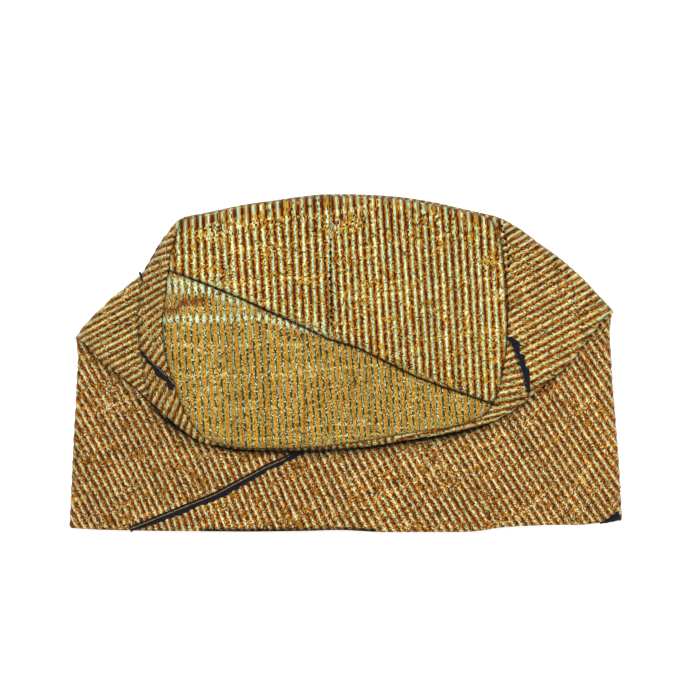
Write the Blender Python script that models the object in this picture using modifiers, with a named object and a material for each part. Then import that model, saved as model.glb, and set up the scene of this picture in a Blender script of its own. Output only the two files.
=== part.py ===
"""An aso oke cap, lying folded flat as it is stored.

The cap is a tall tube of striped strip cloth under an oval crown. It lies on its back with the
mouth towards -Y. The tube is pressed flat, its front doubles back on itself along a hidden
crease at the waist, and the crown tips forward over that crease, so that two side wings of the
tube stick out beside it. Black selvages of the strips show where the strips lap over each other.
"""
import math
from dataclasses import dataclass

import bmesh
import bpy
import numpy as np
from mathutils import Vector
from mathutils.bvhtree import BVHTree

# Cloth, and the clearances between its layers and pieces
CLOTH = 0.0014
SELVAGE_CLOTH = 0.001
PIECE_GAP = 0.0004
SELVAGE_GAP = 0.0006
FOLD_GAP = 0.0020

# The tube as it lies, measured across and up from the middle of the mouth
MOUTH_WIDTH = 0.2925
WAIST_LEFT = 0.1425
WAIST_RIGHT = 0.1395
MOUTH_TO_LEFT_CORNER = 0.1028
MOUTH_TO_RIGHT_CORNER = 0.1175
MOUTH_TO_TOP = 0.1770
HEAD_GAP = 0.0140
SIDE_GAP = 0.0040
ARCH_POWER = 2.2
CREASE_ROUND = 0.0040
CREASE_INSET_SHARE = 0.03
CREASE_LEAN = 0.4
CORNER_EASE = 0.0160

# The crown, measured across from the middle of the mouth and down from the cap's top edge
CROWN_LEFT = 0.0970
CROWN_RIGHT = 0.0860
CROWN_DEPTH = 0.1322
BACK_TAPER_LEFT = 0.0090
BACK_TAPER_RIGHT = 0.0060
FRONT_TAPER_LEFT = 0.0210
FRONT_TAPER_RIGHT = 0.0080
BACK_DROP_LEFT = 0.0095
BACK_DROP_RIGHT = 0.0125
FRONT_RISE_LEFT = 0.0010
FRONT_RISE_RIGHT = 0.0160
CORNER_ROUND = 0.0140
POCKET_GAP = 0.0068
CROWN_RISE = 0.0055
DOME_POWER = 3
BACK_SEAM_DROP = 0.0095

# The crown's crease at its left side, and its diagonal seam
DENT_DEPTH = 0.0022
DENT_LENGTH = 0.0560
DENT_WIDTH = 0.0075
DENT_SHARE = 0.6500
DENT_SLOPE = math.radians(-5)
DIAGONAL_LEFT_SHARE = 0.3060
DIAGONAL_RIGHT_SHARE = 0.8280

# Meshing
RING_SAMPLES = 1400
FOLD_POINTS = 49
FRONT_POINTS = 24
SIDE_POINTS = 9
BACK_POINTS = 48
COLUMNS = (19, 8, 42, 8, 19)
BUNCHING = ((False, True), (True, True), (True, True), (True, True), (True, False))
BUNCH_SHARE = 0.15
SIDE_REACH = 0.0120
EASING_STEPS = 12
EASING_PULL = 0.5
EASING_REACH = 1.5
NORMAL_STEPS = 16
NORMAL_EASE = 0.1
LOWER_ROWS = 5
CREASE_ROWS = 4
CROWN_ROW_SHARES = (0.965, 0.90, 0.80, 0.64, 0.44, 0.22)
RIBBON_STEPS = 4

# Base colours and roughness
ASO_OKE = (0.36, 0.20, 0.055, 1)
ASO_OKE_ROUGHNESS = 0.55
BLACK_COTTON = (0.010, 0.012, 0.020, 1)
BLACK_COTTON_ROUGHNESS = 0.85


@dataclass(frozen=True)
class Level:
    """One level line of the tube above its waist; every figure is a share.

    inset runs from the waist's ends to the crown's sides. front and back run from the waist to
    the crown's front and back edges, at the left, the middle and the right. The lifts run from
    the waist's height to the seam's. taper and rounding shape the crown's corners.
    """

    inset: float
    front_left: float
    front: float
    front_right: float
    back_left: float
    back: float
    back_right: float
    lift_left: float
    lift_right: float
    lift_front: float
    lift_back: float
    taper: float
    rounding: float


LEVELS = (
    Level(0.05, 0.05, 0.05, 0.060, 0.05, 0.05, 0.06, 0.16, 0.16, 0.00, 0.00, 0.00, 0.00),
    Level(0.15, 0.11, 0.13, 0.160, 0.11, 0.15, 0.14, 0.34, 0.34, 0.00, 0.00, 0.00, 0.02),
    Level(0.30, 0.21, 0.31, 0.350, 0.23, 0.34, 0.29, 0.42, 0.46, 0.00, 0.00, 0.00, 0.04),
    Level(0.46, 0.33, 0.53, 0.560, 0.34, 0.56, 0.45, 0.46, 0.57, 0.01, 0.00, 0.00, 0.08),
    Level(0.61, 0.44, 0.74, 0.680, 0.42, 0.76, 0.60, 0.50, 0.66, 0.03, 0.01, 0.02, 0.14),
    Level(0.73, 0.54, 0.88, 0.780, 0.49, 0.89, 0.71, 0.55, 0.74, 0.07, 0.06, 0.08, 0.24),
    Level(0.82, 0.64, 0.97, 0.890, 0.62, 0.96, 0.81, 0.65, 0.80, 0.16, 0.18, 0.20, 0.40),
    Level(0.89, 0.76, 1.01, 0.990, 0.76, 0.99, 0.89, 0.75, 0.86, 0.33, 0.38, 0.38, 0.60),
    Level(0.94, 0.88, 1.02, 1.050, 0.88, 1.00, 0.95, 0.85, 0.91, 0.56, 0.60, 0.60, 0.80),
    Level(0.975, 0.96, 1.015, 1.04, 0.96, 1.00, 0.98, 0.94, 0.96, 0.80, 0.82, 0.82, 0.93),
    Level(1.00, 1.00, 1.00, 1.000, 1.00, 1.00, 1.00, 1.00, 1.00, 1.00, 1.00, 1.00, 1.00),
)


@dataclass(frozen=True)
class Station:
    """A place on a selvage as shares of the cap's sizes: across, up from the mouth, and width."""

    across: float
    up: float
    width: float


# across is a share of half the mouth's width, up of the crown's front edge above the mouth
FRONT_SELVAGE = (
    Station(-0.775, 0.042, 1.0),
    Station(-0.640, 0.220, 1.2),
    Station(-0.475, 0.425, 0.9),
    Station(-0.294, 0.755, 1.1),
    Station(-0.167, 0.945, 0.9),
    Station(-0.060, 1.030, 0.6),
)
# across is a share of the crown's left or right side, up of the whole height above the mouth
LEFT_SELVAGE = (
    Station(-1.108, 0.541, 0.7),
    Station(-1.048, 0.505, 1.1),
    Station(-1.008, 0.476, 1.2),
    Station(-0.990, 0.462, 1.2),
)
RIGHT_SELVAGE = (
    Station(1.010, 0.580, 0.7),
    Station(1.048, 0.536, 1.0),
    Station(1.092, 0.496, 1.1),
    Station(1.112, 0.450, 0.9),
)
# across is a share of half the mouth's width, up of the whole height above the mouth
CORNER_SELVAGE = (
    Station(0.925, 0.012, 0.4),
    Station(0.950, 0.022, 1.0),
    Station(0.972, 0.033, 1.7),
)
SELVAGE_WIDTH = 0.0034


def mix(low, high, share):
    """The value at a share of the way from low to high."""
    return low + (high - low) * share


def spread(low, high, count):
    """Evenly spaced places from low to high."""
    return [mix(low, high, k / (count - 1)) for k in range(count)]


def waist_y(x):
    """Where the waist crease lies above the mouth at a place across the cap."""
    share = (x + WAIST_LEFT) / (WAIST_LEFT + WAIST_RIGHT)
    return mix(MOUTH_TO_LEFT_CORNER, MOUTH_TO_RIGHT_CORNER, share)


def band_height(x, left, right):
    """Height of the middle of the front layer, which arches over the hollow for the head."""
    off_centre = abs(2 * x - left - right) / (right - left)
    return 1.5 * CLOTH + mix(HEAD_GAP, SIDE_GAP, min(off_centre, 1) ** ARCH_POWER)


def fold_radius():
    """Radius of the middle of the cloth where it doubles back with its fold gap."""
    return (CLOTH + FOLD_GAP) / 2


def seam_height():
    """Height of the middle of the cloth at the crown seam, above all the layers under it."""
    hidden_layer = 1.5 * CLOTH + HEAD_GAP + 2 * fold_radius()
    return hidden_layer + CLOTH + POCKET_GAP


def rounded(points, window, corners, reach):
    """A closed line through the points, its corners rounded by a running mean, cut into columns."""
    closed = np.array(points + points[:1])
    run = np.r_[0, np.cumsum(np.linalg.norm(np.diff(closed, axis=0), axis=1))]
    places = np.linspace(0, run[-1], RING_SAMPLES, endpoint=False)
    line = np.column_stack([np.interp(places, run, closed[:, axis]) for axis in range(3)])
    half = max(1, round(window / run[-1] * RING_SAMPLES))
    kernel = np.full(2 * half + 1, 1 / (2 * half + 1))
    for _ in range(2):
        wrapped = np.vstack([line[-half:], line, line[:half]])
        line = np.column_stack([np.convolve(wrapped[:, axis], kernel, "valid") for axis in range(3)])
    folds = np.interp(corners, range(len(run)), run) + reach * np.array((-1, 1, -1, 1))
    turns = [0, *(folds / run[-1]), 1]
    shares = []
    for start, end, count, bunching in zip(turns, turns[1:], COLUMNS, BUNCHING):
        shares += [mix(start, end, bunched(k / count, *bunching)) for k in range(count)]
    wrapped = np.vstack([line, line[:1]])
    steps = np.linspace(0, 1, RING_SAMPLES + 1)
    return np.column_stack([np.interp(shares, steps, wrapped[:, axis]) for axis in range(3)])


def bunched(share, at_start, at_end):
    """A share along a run of columns that stand closer together at its folded ends."""
    if at_start and at_end:
        close = (1 - math.cos(math.pi * share)) / 2
    elif at_end:
        close = math.sin(math.pi * share / 2)
    else:
        close = 1 - math.cos(math.pi * share / 2)
    return mix(share, close, BUNCH_SHARE)


def flat_line(left, right, front, back):
    """The level line of two layers that meet in a fold at each side, from the front's middle."""
    half = FOLD_POINTS // 2
    over = [(x, *front(x)) for x in spread(left, right, FOLD_POINTS)]
    under = [(x, *back(x)) for x in spread(right, left, FOLD_POINTS)]
    right_fold, left_fold = half + 0.5, half + FOLD_POINTS + 0.5
    corners = (right_fold, right_fold, left_fold, left_fold)
    return rounded(over[half:] + under + over[:half], CREASE_ROUND, corners, SIDE_REACH)


def tube_line(share):
    """The level line of the flattened tube, at a share of the way from the mouth to the waist."""
    left = mix(-MOUTH_WIDTH / 2, -WAIST_LEFT, share)
    right = mix(MOUTH_WIDTH / 2, WAIST_RIGHT, share)

    def front(x):
        return waist_y(x) * share, band_height(x, left, right)

    def back(x):
        return waist_y(x) * share, CLOTH / 2

    return flat_line(left, right, front, back)


def crease_line(turn):
    """The level line part of the way round the waist crease; turn runs from 0 to pi."""
    radius, done = fold_radius(), turn / math.pi
    left = mix(-WAIST_LEFT, -CROWN_LEFT, CREASE_INSET_SHARE * done)
    right = mix(WAIST_RIGHT, CROWN_RIGHT, CREASE_INSET_SHARE * done)

    def front(x):
        height = band_height(x, left, right) + radius * (1 - math.cos(turn))
        depth = min((x - left) / CORNER_EASE, (right - x) / CORNER_EASE, 1)
        return waist_y(x) + radius * (depth * math.sin(turn) - 1), height

    def back(x):
        return waist_y(x) + CREASE_LEAN * radius * done, CLOTH / 2

    return flat_line(left, right, front, back)


def level_line(level):
    """The level line of the tipped part of the tube, between the waist and the crown seam."""
    left = mix(-WAIST_LEFT, -CROWN_LEFT, level.inset)
    right = mix(WAIST_RIGHT, CROWN_RIGHT, level.inset)
    low_left, low, low_right = waist_y(-WAIST_LEFT), waist_y(0), waist_y(WAIST_RIGHT)
    front_edge, back_edge = MOUTH_TO_TOP - CROWN_DEPTH, MOUTH_TO_TOP - CLOTH / 2
    front = (
        mix(low_left, front_edge + FRONT_RISE_LEFT, level.front_left),
        mix(low, front_edge, level.front),
        mix(low_right, front_edge + FRONT_RISE_RIGHT, level.front_right),
    )
    back = (
        mix(low_left, back_edge - BACK_DROP_LEFT, level.back_left),
        mix(low, back_edge, level.back),
        mix(low_right, back_edge - BACK_DROP_RIGHT, level.back_right),
    )

    def edge(x, heights):
        share = (x - left) / (right - left)
        straight = mix(heights[0], heights[2], share)
        return straight + (heights[1] - mix(heights[0], heights[2], 0.5)) * (1 - (2 * share - 1) ** 2)

    def side_x(share, side, taper_back, taper_front):
        taper = taper_back if share < 0.5 else taper_front
        return side - math.copysign(taper * level.taper * (2 * share - 1) ** 2, side)

    def front_height(x):
        hidden = band_height(x, -WAIST_LEFT, WAIST_RIGHT) + 2 * fold_radius()
        return mix(hidden, seam_height() - CLOTH, level.lift_front)

    start = 1.5 * CLOTH + SIDE_GAP + fold_radius()
    left_height = mix(start, seam_height(), level.lift_left)
    right_height = mix(start, seam_height(), level.lift_right)
    back_height = mix(CLOTH / 2, seam_height() - BACK_SEAM_DROP, level.lift_back)
    front_span = (
        left + FRONT_TAPER_LEFT * level.taper,
        right - FRONT_TAPER_RIGHT * level.taper,
    )
    back_span = left + BACK_TAPER_LEFT * level.taper, right - BACK_TAPER_RIGHT * level.taper
    points = [(x, edge(x, front), front_height(x)) for x in spread(0, front_span[1], FRONT_POINTS)]
    for share in spread(1, 0, SIDE_POINTS):
        x = side_x(share, right, BACK_TAPER_RIGHT, FRONT_TAPER_RIGHT)
        points.append((x, mix(back[2], front[2], share), right_height))
    points += [(x, edge(x, back), back_height) for x in spread(*back_span[::-1], BACK_POINTS)]
    for share in spread(0, 1, SIDE_POINTS):
        x = side_x(share, left, BACK_TAPER_LEFT, FRONT_TAPER_LEFT)
        points.append((x, mix(back[0], front[0], share), left_height))
    front_left = spread(front_span[0], 0, FRONT_POINTS)[:-1]
    points += [(x, edge(x, front), front_height(x)) for x in front_left]
    corners = np.cumsum((FRONT_POINTS - 0.5, SIDE_POINTS, BACK_POINTS, SIDE_POINTS))
    reach = SIDE_REACH * max(0, 1 - level.inset / LEVELS[2].inset)
    return rounded(points, mix(CREASE_ROUND, CORNER_ROUND, level.rounding), corners, reach)


def wall_rows():
    """The wall's level lines, from the mouth over the waist crease to the crown seam."""
    stop = 1 - fold_radius() / waist_y(0)
    lines = [tube_line(share) for share in spread(0, stop, LOWER_ROWS)]
    lines += [crease_line(math.pi * (k + 0.5) / CREASE_ROWS) for k in range(CREASE_ROWS)]
    lines += [level_line(level) for level in LEVELS]
    return softened(np.array(lines))


def corner_ease(rows):
    """How near each point is to a corner of the waist, where four folds meet, from 0 to 1."""
    corners = (
        np.array((-WAIST_LEFT, waist_y(-WAIST_LEFT), SIDE_GAP)),
        np.array((WAIST_RIGHT, waist_y(WAIST_RIGHT), SIDE_GAP)),
    )
    away = np.min([np.linalg.norm(rows - corner, axis=2) for corner in corners], axis=0)
    return np.clip(EASING_REACH * (1 - away / CORNER_EASE), 0, 1)[..., None]


def softened(rows):
    """The wall's rows, eased round the two corners of the waist."""
    ease = corner_ease(rows)[1:-1]
    for _ in range(EASING_STEPS):
        middle = rows[1:-1]
        pulls, weights = 0, 0
        for other in (rows[2:], rows[:-2], np.roll(middle, 1, axis=1), np.roll(middle, -1, axis=1)):
            weight = 1 / (np.linalg.norm(other - middle, axis=2, keepdims=True) + CLOTH / 4)
            pulls, weights = pulls + other * weight, weights + weight
        rows[1:-1] = mix(middle, pulls / weights, EASING_PULL * ease)
    return rows


def crown_rows(seam):
    """The crown's level lines, from its seam to its middle, where the last one is a point."""
    centre = seam.mean(axis=0)
    top = seam_height() + CROWN_RISE
    rows = []
    for share in CROWN_ROW_SHARES + (0,):
        row = centre + (seam - centre) * share
        row[:, 2] = mix(seam[:, 2], top, math.sqrt(1 - share ** DOME_POWER))
        rows.append(dented(row))
    return np.array(rows)


def dented(points):
    """Points of the crown, pressed down along the crease that runs in from its left seam."""
    start = np.array((-CROWN_LEFT, MOUTH_TO_TOP * DENT_SHARE))
    along = np.array((math.cos(DENT_SLOPE), math.sin(DENT_SLOPE)))
    run = (points[:, :2] - start) @ along
    off = (points[:, :2] - start) @ np.array((-along[1], along[0]))
    press = np.exp(-(off / DENT_WIDTH) ** 2) * np.clip(1 - run / DENT_LENGTH, 0, 1)
    pressed = points.copy()
    pressed[:, 2] -= DENT_DEPTH * press * np.clip(run / DENT_WIDTH, 0, 1)
    return pressed


def outward(rows):
    """Unit normals of a grid of closed level lines, pointing out of the cap."""
    along = np.roll(rows, -1, axis=1) - np.roll(rows, 1, axis=1)
    up = np.gradient(rows, axis=0)
    normals = unit(np.cross(along, up))
    ease = mix(NORMAL_EASE, 1, corner_ease(rows))
    for _ in range(NORMAL_STEPS):
        beside = np.roll(normals, 1, axis=1) + np.roll(normals, -1, axis=1)
        above = np.concatenate([normals[1:], normals[-1:]]) + np.concatenate([normals[:1], normals[:-1]])
        normals = unit(normals + ease * (beside + above) / 4)
    return normals


def unit(vectors):
    """The vectors, each of length 1."""
    return vectors / np.maximum(np.linalg.norm(vectors, axis=2, keepdims=True), 1e-12)


def shell(name, rows, normals, material):
    """A closed wall of cloth round a grid of level lines; a last line of one point closes a top."""
    mesh = bmesh.new()
    count = rows.shape[1]
    capped = np.ptp(rows[-1], axis=0).max() < 1e-9
    skins = []
    for offset in (CLOTH / 2, -CLOTH / 2):
        body = rows[:-1] if capped else rows
        placed = body + normals[: len(body)] * offset
        skin = [[mesh.verts.new(point) for point in row] for row in placed]
        skins.append(skin)
        for lower, upper in zip(skin, skin[1:]):
            for k in range(count):
                after = (k + 1) % count
                mesh.faces.new((lower[k], lower[after], upper[after], upper[k]))
        if capped:
            peak = mesh.verts.new(rows[-1, 0] + Vector((0, 0, offset)))
            for k in range(count):
                mesh.faces.new((skin[-1][k], skin[-1][(k + 1) % count], peak))
    outer, inner = skins
    for end in (0,) if capped else (0, -1):
        for k in range(count):
            after = (k + 1) % count
            mesh.faces.new((outer[end][k], outer[end][after], inner[end][after], inner[end][k]))
    bmesh.ops.recalc_face_normals(mesh, faces=mesh.faces)
    return finished(name, mesh, material)


def finished(name, mesh, material):
    """A named object in the cap's collection from a bmesh, shaded smooth."""
    data = bpy.data.meshes.new(name)
    mesh.to_mesh(data)
    mesh.free()
    data.shade_smooth()
    data.materials.append(material)
    piece = bpy.data.objects.new(name, data)
    collection_named("aso_oke_cap").objects.link(piece)
    return piece


def collection_named(name):
    """The scene's collection of that name, made if it isn't there."""
    if name not in bpy.data.collections:
        bpy.context.scene.collection.children.link(bpy.data.collections.new(name))
    return bpy.data.collections[name]


def fabric(name, colour, roughness):
    """A cloth's plain material."""
    material = bpy.data.materials.new(name)
    material.use_nodes = True
    shader = material.node_tree.nodes["Principled BSDF"]
    shader.inputs["Base Color"].default_value = colour
    shader.inputs["Roughness"].default_value = roughness
    shader.inputs["Metallic"].default_value = 0.0
    return material


def cutter(name, middle, angle, side):
    """A box that covers all of the crown on one side of its diagonal seam."""
    size = 2 * MOUTH_WIDTH
    bpy.ops.mesh.primitive_cube_add(size=size)
    box = bpy.context.object
    box.name = name
    shift = Vector((-math.sin(angle), math.cos(angle), 0)) * side * (size / 2 - PIECE_GAP / 2)
    box.location = middle + shift
    box.rotation_euler.z = angle
    box.display_type = "WIRE"
    box.hide_render = True
    for home in list(box.users_collection):
        home.objects.unlink(box)
    collection_named("cutters").objects.link(box)
    return box


def crown_panels(rows, normals):
    """The crown's two panels, cut from one shell along the diagonal seam."""
    top, depth = MOUTH_TO_TOP, CROWN_DEPTH
    left = Vector((-CROWN_LEFT, top - depth * DIAGONAL_LEFT_SHARE - MOUTH_TO_TOP / 2, 0))
    right = Vector((CROWN_RIGHT, top - depth * DIAGONAL_RIGHT_SHARE - MOUTH_TO_TOP / 2, 0))
    angle = math.atan2(right.y - left.y, right.x - left.x)
    for name, side in (("crown_upper", -1), ("crown_lower", 1)):
        panel = shell(name, rows, normals, fabric(name, ASO_OKE, ASO_OKE_ROUGHNESS))
        cut = panel.modifiers.new("diagonal_seam", "BOOLEAN")
        cut.operation = "DIFFERENCE"
        cut.object = cutter(f"{name}_cutter", (left + right) / 2, angle, side)


def ribbon(name, stations, across, up, ground):
    """A selvage: a narrow strip of cloth that lies on the cap along its stations."""
    places = [Vector((s.across * across, s.up * up - MOUTH_TO_TOP / 2, 0)) for s in stations]
    widths = [s.width * SELVAGE_WIDTH for s in stations]
    fine, fine_widths = [], []
    for k in range(len(places) - 1):
        for share in spread(0, 1, RIBBON_STEPS + 1)[:-1]:
            fine.append(places[k].lerp(places[k + 1], share))
            fine_widths.append(mix(widths[k], widths[k + 1], share))
    fine.append(places[-1])
    fine_widths.append(widths[-1])
    mesh = bmesh.new()
    grid = []
    for k, place in enumerate(fine):
        ahead = (fine[min(k + 1, len(fine) - 1)] - fine[max(k - 1, 0)]).normalized()
        aside = Vector((-ahead.y, ahead.x, 0))
        row = []
        for share in (-0.5, 0, 0.5):
            spot, facing = ground(place + aside * share * fine_widths[k])
            row.append(mesh.verts.new(spot + facing * SELVAGE_GAP))
        grid.append(row)
    for lower, upper in zip(grid, grid[1:]):
        for k in range(2):
            mesh.faces.new((lower[k], lower[k + 1], upper[k + 1], upper[k]))
    mesh.normal_update()
    if sum(face.normal.z for face in mesh.faces) < 0:
        bmesh.ops.reverse_faces(mesh, faces=mesh.faces)
    piece = finished(name, mesh, fabric(name, BLACK_COTTON, BLACK_COTTON_ROUGHNESS))
    thick = piece.modifiers.new("cloth", "SOLIDIFY")
    thick.thickness = SELVAGE_CLOTH
    thick.offset = 1
    return piece


def selvages(wall):
    """The black selvages that show at the lapped edges of the strips."""
    graph = bpy.context.evaluated_depsgraph_get()
    surface = BVHTree.FromObject(wall, graph)

    def top(point):
        hit = surface.ray_cast(Vector((point.x, point.y, 1)), Vector((0, 0, -1)))
        return hit[0], hit[1]

    def band(point):
        share = (point.y + MOUTH_TO_TOP / 2) / waist_y(point.x)
        left = mix(-MOUTH_WIDTH / 2, -WAIST_LEFT, share)
        right = mix(MOUTH_WIDTH / 2, WAIST_RIGHT, share)
        height = band_height(point.x, left, right) + CLOTH / 2
        return Vector((point.x, point.y, height)), Vector((0, 0, 1))

    ribbon("front_selvage", FRONT_SELVAGE, MOUTH_WIDTH / 2, MOUTH_TO_TOP - CROWN_DEPTH, band)
    ribbon("left_selvage", LEFT_SELVAGE, CROWN_LEFT, MOUTH_TO_TOP, top)
    ribbon("right_selvage", RIGHT_SELVAGE, CROWN_RIGHT, MOUTH_TO_TOP, top)
    ribbon("corner_selvage", CORNER_SELVAGE, MOUTH_WIDTH / 2, MOUTH_TO_TOP, top)


def main():
    """Build the cap's pieces."""
    for thing in list(bpy.data.objects):
        bpy.data.objects.remove(thing)
    wall = wall_rows()
    rows = np.vstack([wall, crown_rows(wall[-1])])
    normals = outward(rows)
    rows = rows - np.array((0, MOUTH_TO_TOP / 2, 0))
    seam = len(wall)
    cloth = fabric("wall", ASO_OKE, ASO_OKE_ROUGHNESS)
    body = shell("wall", rows[:seam], normals[:seam], cloth)
    panels = rows[seam - 1:].copy()
    panels[0] += unit(panels[1:2] - panels[:1])[0] * PIECE_GAP
    crown_panels(panels, normals[seam - 1:])
    selvages(body)


main()
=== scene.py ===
"""An aso oke cap lying folded flat on a pale table, seen from straight above.

The cap's wall is a tube of strip cloth woven from brown and gold cotton with pale metallic
threads. It is pressed flat, doubles back along a hidden crease and carries an oval crown that is
tipped forward over it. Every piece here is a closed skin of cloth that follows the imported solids
and adds what they leave plain: the ribs of the weave, laps, seams, stitches and ragged selvages.
"""
import logging
import math
from dataclasses import dataclass, field
from enum import Enum

import bmesh
import bpy
import numpy as np
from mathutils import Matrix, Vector
from mathutils.bvhtree import BVHTree


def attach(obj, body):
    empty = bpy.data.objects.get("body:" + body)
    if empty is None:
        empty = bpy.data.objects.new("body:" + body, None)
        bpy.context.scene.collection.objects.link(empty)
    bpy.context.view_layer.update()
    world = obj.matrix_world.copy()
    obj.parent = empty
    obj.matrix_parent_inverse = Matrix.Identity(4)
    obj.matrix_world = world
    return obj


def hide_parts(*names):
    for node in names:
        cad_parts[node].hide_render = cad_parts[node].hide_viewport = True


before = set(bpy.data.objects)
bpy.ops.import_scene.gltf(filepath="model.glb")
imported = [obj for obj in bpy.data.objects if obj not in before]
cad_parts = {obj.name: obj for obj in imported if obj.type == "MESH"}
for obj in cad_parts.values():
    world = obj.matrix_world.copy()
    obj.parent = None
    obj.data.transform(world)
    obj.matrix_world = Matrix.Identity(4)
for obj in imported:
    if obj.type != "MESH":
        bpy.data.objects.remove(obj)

log = logging.getLogger("aso_oke_cap")

MM = 0.001

# The picture's scale: a pixel of it on the cloth, and the pixel over the cap's middle
PIXEL = 0.53 * MM
MIDDLE_PIXEL = (346.0, 363.5)
PICTURE_PIXELS = 700


def spot(px: float, py: float) -> tuple[float, float]:
    """Where a pixel of the picture lies on the table, in metres from the cap's middle."""
    return (px - MIDDLE_PIXEL[0]) * PIXEL, (MIDDLE_PIXEL[1] - py) * PIXEL


def mix(low, high, share):
    """The value at a share of the way from low to high."""
    return low + (high - low) * share


def spread(low: float, high: float, count: int) -> list[float]:
    """Evenly spaced places from low to high."""
    return [mix(low, high, k / (count - 1)) for k in range(count)]


def unit(vectors: np.ndarray) -> np.ndarray:
    """The vectors along the last axis, each of length 1."""
    return vectors / np.maximum(np.linalg.norm(vectors, axis=-1, keepdims=True), 1e-12)


def smooth_step(low: float, high: float, value: np.ndarray) -> np.ndarray:
    """A soft step from 0 at low to 1 at high."""
    share = np.clip((value - low) / (high - low), 0, 1)
    return share * share * (3 - 2 * share)


@dataclass(frozen=True)
class Level:
    """One level line of the tube above its waist; every figure is a share.

    inset runs from the waist's ends to the crown's sides. front and back run from the waist to
    the crown's front and back edges, at the left, the middle and the right. The lifts run from
    the waist's height to the seam's. taper and rounding shape the crown's corners.
    """

    inset: float
    front_left: float
    front: float
    front_right: float
    back_left: float
    back: float
    back_right: float
    lift_left: float
    lift_right: float
    lift_front: float
    lift_back: float
    taper: float
    rounding: float


LEVELS = (
    Level(0.05, 0.05, 0.05, 0.060, 0.05, 0.05, 0.06, 0.16, 0.16, 0.00, 0.00, 0.00, 0.00),
    Level(0.15, 0.11, 0.13, 0.160, 0.11, 0.15, 0.14, 0.34, 0.34, 0.00, 0.00, 0.00, 0.02),
    Level(0.30, 0.21, 0.31, 0.350, 0.23, 0.34, 0.29, 0.42, 0.46, 0.00, 0.00, 0.00, 0.04),
    Level(0.46, 0.33, 0.53, 0.560, 0.34, 0.56, 0.45, 0.46, 0.57, 0.01, 0.00, 0.00, 0.08),
    Level(0.61, 0.44, 0.74, 0.680, 0.42, 0.76, 0.60, 0.50, 0.66, 0.03, 0.01, 0.02, 0.14),
    Level(0.73, 0.54, 0.88, 0.780, 0.49, 0.89, 0.71, 0.55, 0.74, 0.07, 0.06, 0.08, 0.24),
    Level(0.82, 0.64, 0.97, 0.890, 0.62, 0.96, 0.81, 0.65, 0.80, 0.16, 0.18, 0.20, 0.40),
    Level(0.89, 0.76, 1.01, 0.990, 0.76, 0.99, 0.89, 0.75, 0.86, 0.33, 0.38, 0.38, 0.60),
    Level(0.94, 0.88, 1.02, 1.050, 0.88, 1.00, 0.95, 0.85, 0.91, 0.56, 0.60, 0.60, 0.80),
    Level(0.975, 0.96, 1.015, 1.04, 0.96, 1.00, 0.98, 0.94, 0.96, 0.80, 0.82, 0.82, 0.93),
    Level(1.00, 1.00, 1.00, 1.000, 1.00, 1.00, 1.00, 1.00, 1.00, 1.00, 1.00, 1.00, 1.00),
)


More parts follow.
